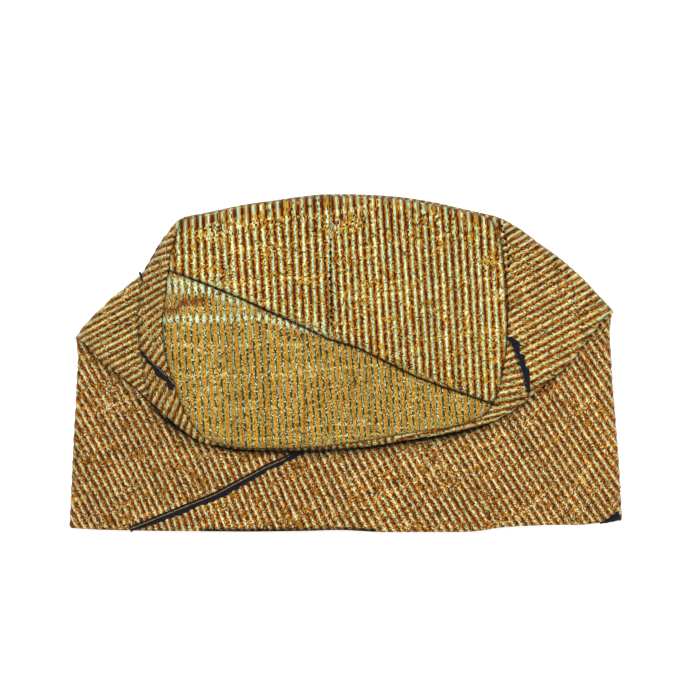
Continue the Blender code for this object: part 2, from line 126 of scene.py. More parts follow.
@dataclass(frozen=True)
class FoldedForm:
    """The middle of the cap's cloth as it lies folded: level lines from the mouth to the crown.

    Lengths are in metres, measured across and up from the middle of the mouth.
    """

    cloth: float = 0.0014
    fold_gap: float = 0.0020
    mouth_width: float = 0.2925
    waist_left: float = 0.1425
    waist_right: float = 0.1395
    mouth_to_left_corner: float = 0.1028
    mouth_to_right_corner: float = 0.1175
    mouth_to_top: float = 0.1770
    head_gap: float = 0.0140
    side_gap: float = 0.0040
    arch_power: float = 2.2
    crease_round: float = 0.0040
    crease_inset: float = 0.03
    crease_lean: float = 0.4
    corner_ease: float = 0.0160
    crown_left: float = 0.0970
    crown_right: float = 0.0860
    crown_depth: float = 0.1322
    back_taper_left: float = 0.0090
    back_taper_right: float = 0.0060
    front_taper_left: float = 0.0210
    front_taper_right: float = 0.0080
    back_drop_left: float = 0.0095
    back_drop_right: float = 0.0125
    front_rise_left: float = 0.0010
    front_rise_right: float = 0.0160
    corner_round: float = 0.0140
    pocket_gap: float = 0.0068
    crown_rise: float = 0.0055
    dome_power: float = 3.0
    back_seam_drop: float = 0.0095
    dent_depth: float = 0.0022
    dent_length: float = 0.0560
    dent_width: float = 0.0075
    dent_share: float = 0.65
    dent_slope: float = math.radians(-5)
    ring_samples: int = 1400
    fold_points: int = 49
    front_points: int = 24
    side_points: int = 9
    back_points: int = 48
    columns: tuple[int, ...] = (19, 8, 42, 8, 19)
    bunch: float = 0.15
    side_reach: float = 0.0120
    easing_steps: int = 12
    easing_pull: float = 0.5
    easing_reach: float = 1.5
    normal_steps: int = 16
    normal_ease: float = 0.1
    lower_rows: int = 5
    crease_rows: int = 4
    crown_row_shares: tuple[float, ...] = (0.965, 0.90, 0.80, 0.64, 0.44, 0.22)

    def waist_y(self, x: float) -> float:
        """Where the waist crease lies above the mouth at a place across the cap."""
        share = (x + self.waist_left) / (self.waist_left + self.waist_right)
        return mix(self.mouth_to_left_corner, self.mouth_to_right_corner, share)

    def band_height(self, x: float, left: float, right: float) -> float:
        """Height of the middle of the front layer, which arches over the hollow for the head."""
        off_centre = abs(2 * x - left - right) / (right - left)
        arch = mix(self.head_gap, self.side_gap, min(off_centre, 1) ** self.arch_power)
        return 1.5 * self.cloth + arch

    def fold_radius(self) -> float:
        """Radius of the middle of the cloth where it doubles back with its fold gap."""
        return (self.cloth + self.fold_gap) / 2

    def seam_height(self) -> float:
        """Height of the middle of the cloth at the crown seam, above all the layers under it."""
        hidden_layer = 1.5 * self.cloth + self.head_gap + 2 * self.fold_radius()
        return hidden_layer + self.cloth + self.pocket_gap

    def bunched(self, share: float, at_start: bool, at_end: bool) -> float:
        """A share along a run of columns that stand closer together at its folded ends."""
        if at_start and at_end:
            close = (1 - math.cos(math.pi * share)) / 2
        elif at_end:
            close = math.sin(math.pi * share / 2)
        else:
            close = 1 - math.cos(math.pi * share / 2)
        return mix(share, close, self.bunch)

    def rounded(self, points: list, window: float, corners, reach: float) -> np.ndarray:
        """A closed line with rounded corners, cut into the cap's columns.

        Args:
            points: the line's points in order, x, y and height.
            window: how far the running mean that rounds the corners reaches.
            corners: places of the line's four corners, counted in points.
            reach: how far from each corner the run of columns beside it starts.

        Returns:
            One point for each column.
        """
        closed = np.array(points + points[:1])
        run = np.r_[0, np.cumsum(np.linalg.norm(np.diff(closed, axis=0), axis=1))]
        places = np.linspace(0, run[-1], self.ring_samples, endpoint=False)
        line = np.column_stack([np.interp(places, run, closed[:, axis]) for axis in range(3)])
        half = max(1, round(window / run[-1] * self.ring_samples))
        kernel = np.full(2 * half + 1, 1 / (2 * half + 1))
        for _ in range(2):
            wrapped = np.vstack([line[-half:], line, line[:half]])
            columns = [np.convolve(wrapped[:, axis], kernel, "valid") for axis in range(3)]
            line = np.column_stack(columns)
        folds = np.interp(corners, range(len(run)), run) + reach * np.array((-1, 1, -1, 1))
        turns = [0, *(folds / run[-1]), 1]
        shares = []
        last = len(self.columns) - 1
        for k, (start, end, count) in enumerate(zip(turns, turns[1:], self.columns)):
            for column in range(count):
                shares.append(mix(start, end, self.bunched(column / count, k > 0, k < last)))
        wrapped = np.vstack([line, line[:1]])
        steps = np.linspace(0, 1, self.ring_samples + 1)
        return np.column_stack([np.interp(shares, steps, wrapped[:, axis]) for axis in range(3)])

    def flat_line(self, left: float, right: float, front, back) -> np.ndarray:
        """The level line of two layers that meet in a fold at each side."""
        half = self.fold_points // 2
        over = [(x, *front(x)) for x in spread(left, right, self.fold_points)]
        under = [(x, *back(x)) for x in spread(right, left, self.fold_points)]
        right_fold, left_fold = half + 0.5, half + self.fold_points + 0.5
        corners = (right_fold, right_fold, left_fold, left_fold)
        points = over[half:] + under + over[:half]
        return self.rounded(points, self.crease_round, corners, self.side_reach)

    def tube_line(self, share: float) -> np.ndarray:
        """The level line of the flattened tube, at a share of the way up to the waist."""
        left = mix(-self.mouth_width / 2, -self.waist_left, share)
        right = mix(self.mouth_width / 2, self.waist_right, share)

        def front(x: float) -> tuple[float, float]:
            """Place and height of the front layer."""
            return self.waist_y(x) * share, self.band_height(x, left, right)

        def back(x: float) -> tuple[float, float]:
            """Place and height of the back layer."""
            return self.waist_y(x) * share, self.cloth / 2

        return self.flat_line(left, right, front, back)

    def crease_line(self, turn: float) -> np.ndarray:
        """The level line part of the way round the waist crease; turn runs from 0 to pi."""
        radius, done = self.fold_radius(), turn / math.pi
        left = mix(-self.waist_left, -self.crown_left, self.crease_inset * done)
        right = mix(self.waist_right, self.crown_right, self.crease_inset * done)

        def front(x: float) -> tuple[float, float]:
            """Place and height of the doubled front layer."""
            height = self.band_height(x, left, right) + radius * (1 - math.cos(turn))
            depth = min((x - left) / self.corner_ease, (right - x) / self.corner_ease, 1)
            return self.waist_y(x) + radius * (depth * math.sin(turn) - 1), height

        def back(x: float) -> tuple[float, float]:
            """Place and height of the back layer."""
            return self.waist_y(x) + self.crease_lean * radius * done, self.cloth / 2

        return self.flat_line(left, right, front, back)

    def level_line(self, level: Level) -> np.ndarray:
        """The level line of the tipped part of the tube, between the waist and the crown."""
        left = mix(-self.waist_left, -self.crown_left, level.inset)
        right = mix(self.waist_right, self.crown_right, level.inset)
        waist = self.waist_y(-self.waist_left), self.waist_y(0), self.waist_y(self.waist_right)
        front_edge = self.mouth_to_top - self.crown_depth
        back_edge = self.mouth_to_top - self.cloth / 2
        front = (
            mix(waist[0], front_edge + self.front_rise_left, level.front_left),
            mix(waist[1], front_edge, level.front),
            mix(waist[2], front_edge + self.front_rise_right, level.front_right),
        )
        back = (
            mix(waist[0], back_edge - self.back_drop_left, level.back_left),
            mix(waist[1], back_edge, level.back),
            mix(waist[2], back_edge - self.back_drop_right, level.back_right),
        )

        def edge(x: float, places: tuple[float, ...]) -> float:
            """How far up an edge bowed through three places is at a place across."""
            share = (x - left) / (right - left)
            bow = places[1] - mix(places[0], places[2], 0.5)
            return mix(places[0], places[2], share) + bow * (1 - (2 * share - 1) ** 2)

        def side_x(share: float, side: float, taper_back: float, taper_front: float) -> float:
            """Where a side of the crown is, at a share of the way from its back edge."""
            taper = taper_back if share < 0.5 else taper_front
            return side - math.copysign(taper * level.taper * (2 * share - 1) ** 2, side)

        def front_height(x: float) -> float:
            """Height of the hidden layer, which rises to the crown seam."""
            hidden = self.band_height(x, -self.waist_left, self.waist_right)
            hidden += 2 * self.fold_radius()
            return mix(hidden, self.seam_height() - self.cloth, level.lift_front)

        start = 1.5 * self.cloth + self.side_gap + self.fold_radius()
        left_height = mix(start, self.seam_height(), level.lift_left)
        right_height = mix(start, self.seam_height(), level.lift_right)
        back_top = self.seam_height() - self.back_seam_drop
        back_height = mix(self.cloth / 2, back_top, level.lift_back)
        front_left = left + self.front_taper_left * level.taper
        front_right = right - self.front_taper_right * level.taper
        back_left = left + self.back_taper_left * level.taper
        back_right = right - self.back_taper_right * level.taper
        points = []
        for x in spread(0, front_right, self.front_points):
            points.append((x, edge(x, front), front_height(x)))
        for share in spread(1, 0, self.side_points):
            x = side_x(share, right, self.back_taper_right, self.front_taper_right)
            points.append((x, mix(back[2], front[2], share), right_height))
        for x in spread(back_right, back_left, self.back_points):
            points.append((x, edge(x, back), back_height))
        for share in spread(0, 1, self.side_points):
            x = side_x(share, left, self.back_taper_left, self.front_taper_left)
            points.append((x, mix(back[0], front[0], share), left_height))
        for x in spread(front_left, 0, self.front_points)[:-1]:
            points.append((x, edge(x, front), front_height(x)))
        run = (self.front_points - 0.5, self.side_points, self.back_points, self.side_points)
        reach = self.side_reach * max(0, 1 - level.inset / LEVELS[2].inset)
        window = mix(self.crease_round, self.corner_round, level.rounding)
        return self.rounded(points, window, np.cumsum(run), reach)

    def corner_nearness(self, rows: np.ndarray) -> np.ndarray:
        """How near each point is to a corner of the waist, from 0 to 1."""
        corners = (
            np.array((-self.waist_left, self.waist_y(-self.waist_left), self.side_gap)),
            np.array((self.waist_right, self.waist_y(self.waist_right), self.side_gap)),
        )
        away = np.min([np.linalg.norm(rows - corner, axis=2) for corner in corners], axis=0)
        return np.clip(self.easing_reach * (1 - away / self.corner_ease), 0, 1)[..., None]

    def wall_rows(self) -> np.ndarray:
        """The wall's level lines, from the mouth over the waist crease to the crown seam."""
        stop = 1 - self.fold_radius() / self.waist_y(0)
        lines = [self.tube_line(share) for share in spread(0, stop, self.lower_rows)]
        for k in range(self.crease_rows):
            lines.append(self.crease_line(math.pi * (k + 0.5) / self.crease_rows))
        lines += [self.level_line(level) for level in LEVELS]
        rows = np.array(lines)
        ease = self.corner_nearness(rows)[1:-1]
        for _ in range(self.easing_steps):
            middle = rows[1:-1]
            beside = (np.roll(middle, 1, axis=1), np.roll(middle, -1, axis=1))
            pulls, weights = 0, 0
            for other in (rows[2:], rows[:-2], *beside):
                away = np.linalg.norm(other - middle, axis=2, keepdims=True)
                weight = 1 / (away + self.cloth / 4)
                pulls, weights = pulls + other * weight, weights + weight
            rows[1:-1] = mix(middle, pulls / weights, self.easing_pull * ease)
        return rows

    def dented(self, points: np.ndarray) -> np.ndarray:
        """Points of the crown, pressed down along the crease that runs in from its left."""
        start = np.array((-self.crown_left, self.mouth_to_top * self.dent_share))
        along = np.array((math.cos(self.dent_slope), math.sin(self.dent_slope)))
        run = (points[:, :2] - start) @ along
        off = (points[:, :2] - start) @ np.array((-along[1], along[0]))
        press = np.exp(-(off / self.dent_width) ** 2) * np.clip(1 - run / self.dent_length, 0, 1)
        pressed = points.copy()
        pressed[:, 2] -= self.dent_depth * press * np.clip(run / self.dent_width, 0, 1)
        return pressed

    def crown_rows(self, seam: np.ndarray) -> np.ndarray:
        """The crown's level lines, from its seam to its middle."""
        centre = seam.mean(axis=0)
        top = self.seam_height() + self.crown_rise
        rows = []
        for share in self.crown_row_shares + (0,):
            row = centre + (seam - centre) * share
            row[:, 2] = mix(seam[:, 2], top, math.sqrt(1 - share ** self.dome_power))
            rows.append(self.dented(row))
        return np.array(rows)

    def outward(self, rows: np.ndarray) -> np.ndarray:
        """Unit normals of a grid of closed level lines, pointing out of the cap."""
        along = np.roll(rows, -1, axis=1) - np.roll(rows, 1, axis=1)
        normals = unit(np.cross(along, np.gradient(rows, axis=0)))
        ease = mix(self.normal_ease, 1, self.corner_nearness(rows))
        for _ in range(self.normal_steps):
            beside = np.roll(normals, 1, axis=1) + np.roll(normals, -1, axis=1)
            above = np.concatenate([normals[1:], normals[-1:]])
            below = np.concatenate([normals[:1], normals[:-1]])
            normals = unit(normals + ease * (beside + above + below) / 4)
        return normals

    def grid(self) -> "ClothGrid":
        """The whole cap's level lines and normals, with the table's middle as origin."""
        wall = self.wall_rows()
        rows = np.vstack([wall, self.crown_rows(wall[-1])])
        normals = self.outward(rows)
        tipped = self.lower_rows + self.crease_rows
        rows = slackened(rows - np.array((0, self.mouth_to_top / 2, 0)), tipped)
        return ClothGrid(rows, normals, len(wall) - 1, self.lower_rows - 1)


# How the soft edges lie off the regular form: a picture row and how far out the side goes there,
# and a picture column and how far up the mouth's edge goes there, all in pixels
LEFT_SLACK = (
    (235, 0), (254, 1), (280, 2), (296, 0.6), (308, 0.5), (320, 5.6), (332, 7.3), (344, 5),
    (356, 4.3), (368, 2.3), (380, 0), (404, 2), (428, 2), (440, 1), (464, 1.6), (488, 1.4), (524, 2),
)
RIGHT_SLACK = (
    (215, 9), (232, 7), (264, 8), (291, 8), (306, 9.5), (316, 7), (332, 4.8), (344, 4.6), (356, 2),
    (368, 0.5), (392, 2), (416, 1.7), (440, 1), (500, 2.3), (530, 1.3),
)
MOUTH_SLACK = (
    (70, 1.5), (100, 0), (150, -1), (250, -1.6), (300, -1), (340, 0.3), (380, -2), (460, -2),
    (480, -1), (500, 2.5), (520, 3.7), (550, 5), (580, 4.8), (600, 7), (622, 9),
)
# A picture column, the row of the top edge or of the front roll's edge there, and how far it goes up
TOP_SLACK = (
    (160, 243, 1), (180, 217, -1.3), (200, 209, -5), (220, 205, -4.3), (240, 203, -2.7),
    (280, 199, -1), (300, 197, 0.7), (320, 197, 2.3), (380, 198, 2.7), (400, 200, 3), (440, 206, 2.3),
    (460, 210, 1.3), (480, 214, 1.3), (500, 221, 3), (520, 232, 3), (560, 261, 2.7), (580, 277, -0.5),
    (600, 296, 0),
)
FRONT_SLACK = (
    (205, 442, 0), (220, 448, 2.5), (240, 450, 1), (330, 450, 0), (370, 448, 2.5), (400, 445, 5),
    (420, 443, 5.5), (446, 440, 4.5), (480, 431, 5), (502, 423, 5.5), (515, 412, 2), (528, 398, 0),
)
SIDE_SLACK_START = 0.075
SIDE_SLACK_FULL = 0.130
MOUTH_SLACK_HEIGHT = 0.060


def edge_shift(table: tuple[tuple[float, float, float], ...], across: np.ndarray, up: np.ndarray,
               start: float, full: float) -> np.ndarray:
    """How far points go up beside an edge, growing from none at start to the full shift at full."""
    columns, edges, shifts = np.array(table).T
    columns, edges = spot(columns, edges)
    beyond = up - np.interp(across, columns, edges)
    return smooth_step(start, full, beyond) * np.interp(across, columns, shifts * PIXEL)


def slackened(points: np.ndarray, tipped: int) -> np.ndarray:
    """Points of the regular form, moved to where the soft edges lie; tipped is its first tipped row."""
    moved = points.copy()
    across, up = points[..., 0], points[..., 1]
    for table, side in ((LEFT_SLACK, -1), (RIGHT_SLACK, 1)):
        heights = [spot(0, row)[1] for row, _ in table][::-1]
        shifts = [shift * PIXEL for _, shift in table][::-1]
        weight = smooth_step(SIDE_SLACK_START, SIDE_SLACK_FULL, across * side)
        moved[..., 0] += side * weight * np.interp(up, heights, shifts)
    columns = [spot(column, 0)[0] for column, _ in MOUTH_SLACK]
    shifts = [shift * PIXEL for _, shift in MOUTH_SLACK]
    low = points[..., 1].min()
    weight = 1 - smooth_step(low, low + MOUTH_SLACK_HEIGHT, up)
    moved[..., 1] += weight * np.interp(across, columns, shifts)
    moved[..., 1] += edge_shift(TOP_SLACK, across, up, -20 * PIXEL, -2 * PIXEL)
    moved[tipped:, :, 1] += edge_shift(FRONT_SLACK, across, up, 16 * PIXEL, 3 * PIXEL)[tipped:]
    return moved


@dataclass(frozen=True)
class ClothGrid:
    """A coarse grid of the cap's middle surface that can be read smoothly between its points.

    Columns count round the cap from the front's middle, and rows from the mouth to the crown's
    middle. seam_row is the row of the crown seam, waist_row the last one below the waist.
    """

    points: np.ndarray
    normals: np.ndarray
    seam_row: int
    waist_row: int

    @property
    def column_count(self) -> int:
        """How many columns the grid has."""
        return self.points.shape[1]

    @staticmethod
    def between(before, start, end, after, share: np.ndarray) -> np.ndarray:
        """Points on a smooth curve between start and end that suits their neighbours."""
        steps = [np.linalg.norm(b - a, axis=-1, keepdims=True) + 1e-9
                 for a, b in ((before, start), (start, end), (end, after))]
        slopes = [(start - before) / steps[0], (end - start) / steps[1], (after - end) / steps[2]]
        leave = (slopes[0] * steps[1] + slopes[1] * steps[0]) / (steps[0] + steps[1]) * steps[1]
        arrive = (slopes[1] * steps[2] + slopes[2] * steps[1]) / (steps[1] + steps[2]) * steps[1]
        s = share[:, None]
        return (
            start * (2 * s ** 3 - 3 * s ** 2 + 1)
            + leave * (s ** 3 - 2 * s ** 2 + s)
            + end * (3 * s ** 2 - 2 * s ** 3)
            + arrive * (s ** 3 - s ** 2)
        )

    def on_row(self, row: np.ndarray, column: np.ndarray) -> np.ndarray:
        """Points on whole rows at any columns; a row past an end repeats the last step."""
        count, last = self.column_count, len(self.points) - 1
        base = np.floor(column).astype(int)
        inside = np.clip(row, 0, last)
        past = (row - inside)[:, None]
        around = []
        for shift in (-1, 0, 1, 2):
            place = (base + shift) % count
            here = self.points[inside, place]
            back = self.points[np.clip(inside - np.sign(row - inside), 0, last), place]
            around.append(here + np.abs(past) * (here - back))
        return self.between(*around, column - base)

    def at(self, column: np.ndarray, row: np.ndarray) -> tuple[np.ndarray, np.ndarray]:
        """Points and unit normals of the middle surface at any columns and rows.

        Args:
            column: places round the cap, counted in columns.
            row: places up the cap, counted in rows.

        Returns:
            The points and the normals, one row of each for each place.
        """
        base = np.minimum(np.floor(row).astype(int), len(self.points) - 2)
        near = [self.on_row(base + shift, column) for shift in (-1, 0, 1, 2)]
        points = self.between(*near, row - base)
        return points, self.normal_at(column, row)

    def normal_at(self, column: np.ndarray, row: np.ndarray) -> np.ndarray:
        """Unit normals at any columns and rows."""
        count = self.column_count
        base_row = np.minimum(np.floor(row).astype(int), len(self.points) - 2)
        base = np.floor(column).astype(int)
        up, across = (row - base_row)[:, None], (column - base)[:, None]
        left, right = base % count, (base + 1) % count
        lower = mix(self.normals[base_row, left], self.normals[base_row, right], across)
        upper = mix(self.normals[base_row + 1, left], self.normals[base_row + 1, right], across)
        return unit(mix(lower, upper, up))


@dataclass(frozen=True)
class StripRun:
    """How the ribs of one strip of cloth run, along a path across the strip's ribs.

    stations holds a pixel of the picture, the ribs' angle there in degrees and their pitch in
    pixels, for places along the path. Ribs run at that angle, anticlockwise from the right.
    """

    name: str
    stations: tuple[tuple[float, float, float, float], ...]
    finer: int = 6

    def path(self) -> tuple[np.ndarray, np.ndarray, np.ndarray]:
        """The path's points in metres, with the ribs' angle and pitch at each."""
        table = np.array(self.stations)
        places = np.array([spot(px, py) for px, py in table[:, :2]])
        count = (len(table) - 1) * self.finer + 1
        steps = np.linspace(0, len(table) - 1, count)
        whole = np.arange(len(table))
        line = np.column_stack([np.interp(steps, whole, places[:, axis]) for axis in (0, 1)])
        for _ in range(self.finer):
            line[1:-1] = (line[:-2] + line[1:-1] + line[2:]) / 3
        angle = np.radians(np.interp(steps, whole, table[:, 2]))
        pitch = np.interp(steps, whole, table[:, 3]) * PIXEL
        return line, angle, pitch

    def weave(self, places: np.ndarray) -> tuple[np.ndarray, np.ndarray]:
        """Where places lie in the weave.

        Args:
            places: x and y of each place, in metres.

        Returns:
            How far along its rib each place is in metres, and how many ribs across.
        """
        line, angle, pitch = self.path()
        steps = np.diff(line, axis=0)
        lengths = np.linalg.norm(steps, axis=1)
        best = np.full(len(places), np.inf)
        segment = np.zeros(len(places), int)
        run = np.zeros(len(places))
        side = np.zeros(len(places))
        for k, (step, length) in enumerate(zip(steps, lengths)):
            along = step / length
            away = places - line[k]
            forward = away @ along
            low = -np.inf if k == 0 else 0
            high = np.inf if k == len(steps) - 1 else length
            held = np.clip(forward, low, high)
            off = away @ np.array((-along[1], along[0]))
            distance = (forward - held) ** 2 + off ** 2
            nearer = distance < best
            best[nearer] = distance[nearer]
            segment[nearer], run[nearer] = k, held[nearer]
            side[nearer] = off[nearer]
        heading = np.arctan2(steps[:, 1], steps[:, 0])
        heading = np.r_[heading, heading[-1]]
        crossing = angle - heading
        density = np.sin(crossing) / pitch
        ribs = np.r_[0, np.cumsum((density[1:] + density[:-1]) / 2 * lengths)]
        start = np.r_[0, np.cumsum(lengths)][segment]
        share = run / lengths[segment]
        inside = np.clip(share, 0, 1)
        ribs_here = mix(ribs[segment], ribs[segment + 1], inside)
        ribs_here = ribs_here + (share - inside) * lengths[segment] * density[segment]
        cross = mix(crossing[segment], crossing[segment + 1], inside)
        apart = mix(pitch[segment], pitch[segment + 1], inside)
        phase = ribs_here - side * np.cos(cross) / apart
        weft = (start + run) * np.cos(cross) + side * np.sin(cross)
        return weft, phase


class Strip(Enum):
    """The strips of cloth that show, each with its own run of ribs."""

    LEFT_BAND = StripRun("left band", (
        (60, 450, 118.5, 6.5), (120, 450, 117.0, 6.5), (200, 460, 116.0, 6.6), (290, 455, 112.0, 7.1)))
    UNDER_BAND = StripRun("under band", (
        (180, 510, 109.0, 6.5), (260, 500, 112.5, 6.8), (350, 490, 117.0, 7.4)))
    RIGHT_BAND = StripRun("right band", (
        (345, 480, 117.5, 7.3), (400, 480, 120.5, 7.0), (480, 470, 122.0, 6.7),
        (560, 450, 122.0, 6.9), (630, 440, 124.0, 6.9)))
    LEFT_WING = StripRun("left wing", (
        (112, 288, 28.0, 5.8), (120, 320, 28.5, 5.8), (130, 355, 27.0, 6.5), (142, 395, 30.0, 6.7)))
    LEFT_FOLD = StripRun("left fold", (
        (174, 222, 24.0, 6.5), (160, 250, 18.0, 6.5), (151, 280, 28.0, 6.2), (150, 300, 30.5, 6.4),
        (149, 320, 40.0, 6.8), (152, 340, 48.0, 7.0), (158, 358, 53.0, 7.2), (166, 390, 62.0, 7.1),
        (180, 412, 68.0, 6.9), (205, 432, 76.0, 6.9)))
    RIGHT_WING = StripRun("right wing", (
        (525, 240, 30.0, 6.4), (535, 285, 31.0, 6.7), (550, 325, 28.0, 6.8), (560, 365, 27.0, 7.1)))
    RIGHT_FOLD = StripRun("right fold", (
        (508, 345, 34.0, 6.8), (513, 368, 14.0, 6.8), (512, 390, 9.5, 6.7), (500, 408, 10.0, 7.0),
        (478, 422, 24.0, 7.0)))
    FRONT_ROLL = StripRun("front roll", (
        (190, 440, 78.0, 7.0), (300, 448, 92.0, 7.0), (400, 445, 100.0, 7.0), (470, 432, 112.0, 7.0)))
    FRONT_RIGHT = StripRun("front right", (
        (450, 405, 12.0, 5.4), (456, 424, 13.0, 5.4), (462, 446, 15.0, 5.4)))
    BACK_RISE = StripRun("back rise", (
        (150, 220, 92.0, 7.9), (330, 200, 93.0, 7.8), (520, 220, 95.0, 7.3)))
    BACK_LEFT = StripRun("back left", (
        (60, 400, 62.0, 6.7), (346, 400, 60.0, 6.9)))
    BACK_RIGHT = StripRun("back right", (
        (346, 400, 58.0, 6.9), (630, 400, 57.0, 6.9)))
    CROWN_UPPER_LEFT = StripRun("crown upper left", (
        (160, 260, 91.0, 7.7), (240, 250, 93.5, 7.8), (330, 250, 92.5, 8.1)))
    CROWN_UPPER_RIGHT = StripRun("crown upper right", (
        (330, 270, 93.5, 7.1), (420, 270, 93.5, 7.3), (510, 280, 93.0, 7.3)))
    CROWN_LOWER_LEFT = StripRun("crown lower left", (
        (160, 350, 93.0, 6.5), (230, 360, 93.5, 6.9), (304, 370, 93.0, 6.9)))
    CROWN_LOWER_RIGHT = StripRun("crown lower right", (
        (304, 370, 95.0, 6.2), (400, 400, 95.5, 6.1), (500, 420, 94.0, 6.4)))


# Lines of the picture that part the strips, in its pixels, from left to right or top to bottom
LAP_LINE = ((60, 556), (130, 529.5), (215, 495), (265, 468), (300, 452), (325, 446), (346, 438))
BAND_SEAM_X = 345.0
KINK_LINE = (
    (184, 205), (166, 232), (154, 254), (144, 270), (141, 282), (140, 295), (138.5, 307),
    (137.5, 316), (138, 326), (138.5, 335), (140.4, 349), (143, 364), (146, 382), (148, 393),
    (151, 405),
)
LEFT_SLIT = ((141.5, 351), (150, 360), (159, 368.5), (168, 377), (177.5, 386.5))
RIGHT_SLIT = ((507.5, 338), (512, 347), (516.4, 356), (521, 369.5), (525.4, 384.6), (527.5, 395))
DIAGONAL_LINE = (
    (169, 270.5), (192, 279), (213, 287), (242, 299), (270, 312), (299, 325), (328, 339),
    (358, 348), (386, 362), (416, 377), (443, 387), (470, 396), (497, 405.5),
)
LEFT_FOLD_LINE = (
    (80, 338), (83, 341), (103, 358), (117, 371), (132, 384), (143, 394), (150, 402), (157, 413),
    (166, 420), (181, 430), (199, 440), (220, 444), (244, 448), (269, 449),
)
RIGHT_FOLD_LINE = (
    (604, 312), (595, 325), (580, 344), (561, 368), (547, 381), (528, 394), (523, 402), (511, 410.5),
    (499.5, 418), (486, 423), (474, 427.5), (456, 433), (436, 436.4), (420, 439), (380, 444),
    (330, 448), (300, 449), (269, 449),
)
FRONT_SHADOW_LINE = ((215, 446), (235, 450), (300, 451), (370, 447.5), (400, 442), (425, 439))
BAND_SEAM_LINE = ((346, 452), (344.5, 490), (345.5, 529))
UPPER_SEAM_LINE = ((331, 196), (330, 250), (329.5, 336))
LOWER_SEAM_LINE = ((304, 329), (304.5, 380), (304, 444))
DENT_LINE = ((163, 313), (178, 307), (190, 302), (204, 300))
LEFT_TUCK_LINE = ((86, 349), (103, 367), (130, 393), (148, 414))
HEM_LINE = ((205, 531), (300, 531), (345, 530), (375, 531))
# Where the crown's metallic thread lies on top of every rib, with how far each side, in metres
BRIGHT_LINES = (
    (((163, 285), (205, 288), (240, 298)), 4.6 * MM),
    (((163, 319), (200, 319), (262, 317), (330, 334)), 2.1 * MM),
)
UPPER_SEAM_X = 330.0
LOWER_SEAM_X = 304.0
BACK_EDGE_PIXEL = 236.0
FRONT_ROLL_PIXEL = 424.0
FRONT_RIGHT_LINE = ((396, 428), (440, 422), (480, 412), (505, 404))


def line_metres(line: tuple[tuple[float, float], ...]) -> np.ndarray:
    """A line of pixels as points on the table in metres."""
    return np.array([spot(px, py) for px, py in line])


def distance_to(line: tuple[tuple[float, float], ...], places: np.ndarray) -> np.ndarray:
    """How far places on the table are from a line of the picture, in metres."""
    points = line_metres(line)
    best = np.full(len(places), np.inf)
    for start, end in zip(points, points[1:]):
        step = end - start
        share = np.clip((places - start) @ step / (step @ step), 0, 1)
        best = np.minimum(best, np.linalg.norm(places - start - share[:, None] * step, axis=1))
    return best


def above(line: tuple[tuple[float, float], ...], places: np.ndarray) -> np.ndarray:
    """How far places are above a line that runs from left to right, in metres up the table."""
    points = line_metres(line)
    return places[:, 1] - np.interp(places[:, 0], points[:, 0], points[:, 1])


def right_of(line: tuple[tuple[float, float], ...], places: np.ndarray) -> np.ndarray:
    """How far places are to the right of a line that runs down the picture, in metres."""
    points = line_metres(line)[::-1]
    return places[:, 0] - np.interp(places[:, 1], points[:, 1], points[:, 0])


@dataclass
class WovenSkin:
    """A closed skin of cloth, as points with what the weave needs to know of each."""

    points: np.ndarray
    normals: np.ndarray
    rows: np.ndarray
    relief: np.ndarray
    shade: np.ndarray
    bright: np.ndarray
    faces: np.ndarray

    def turned_out(self) -> None:
        """Turns the faces round if the skin is inside out."""
        a, b, c = (self.points[self.faces[:, k]] for k in range(3))
        if np.einsum("ij,ij->", a, np.cross(b, c)) < 0:
            self.faces = self.faces[:, ::-1]

    def made(self, name: str, choose, ribs: "RibTree", finish: bpy.types.Material) -> bpy.types.Object:
        """The skin as a plain mesh with its ribs raised.

        Args:
            name: the piece's name.
            choose: a function that gives the strip's number for points, normals and rows.
            ribs: the tree that raises the ribs.
            finish: the cloth's material.

        Returns:
            The finished piece.
        """
        self.turned_out()
        mesh = bpy.data.meshes.new(name)
        mesh.from_pydata(self.points.tolist(), [], self.faces.tolist())
        strips = list(Strip)
        chosen = choose(self.points, self.normals, self.rows)
        phase = np.zeros(len(self.points))
        for number, strip in enumerate(strips):
            mine = chosen == number
            if mine.any():
                phase[mine] = strip.value.weave(self.points[mine, :2])[1]
        self.store(mesh, "rib_phase", "FLOAT", phase)
        self.store(mesh, "relief", "FLOAT", self.relief)
        self.store(mesh, "shade", "FLOAT", self.shade)
        self.store(mesh, "bright", "FLOAT", self.bright)
        self.store(mesh, "facing", "FLOAT_VECTOR", self.normals)
        middles = self.points[self.faces].mean(axis=1)
        facings = self.normals[self.faces].mean(axis=1)
        face_strip = choose(middles, facings, self.rows[self.faces].mean(axis=1))
        corners = self.points[self.faces].reshape(-1, 3)
        corner_strip = np.repeat(face_strip, 3)
        weave = np.zeros((len(corners), 2))
        for number, strip in enumerate(strips):
            mine = corner_strip == number
            if mine.any():
                weft, ribs_across = strip.value.weave(corners[mine, :2])
                weave[mine, 0] = (weft + corners[mine, 2]) / MM + 400 * number
                weave[mine, 1] = ribs_across + 300 * number
        layer = mesh.uv_layers.new(name="weave")
        layer.uv.foreach_set("vector", weave.ravel())
        mesh.shade_smooth()
        piece = bpy.data.objects.new(name, mesh)
        bpy.context.scene.collection.objects.link(piece)
        return ribs.applied(piece, finish)

    @staticmethod
    def store(mesh: bpy.types.Mesh, name: str, kind: str, values: np.ndarray) -> None:
        """Stores values on the mesh's points under a name."""
        layer = mesh.attributes.new(name, kind, "POINT")
        layer.data.foreach_set("vector" if kind == "FLOAT_VECTOR" else "value", values.ravel())


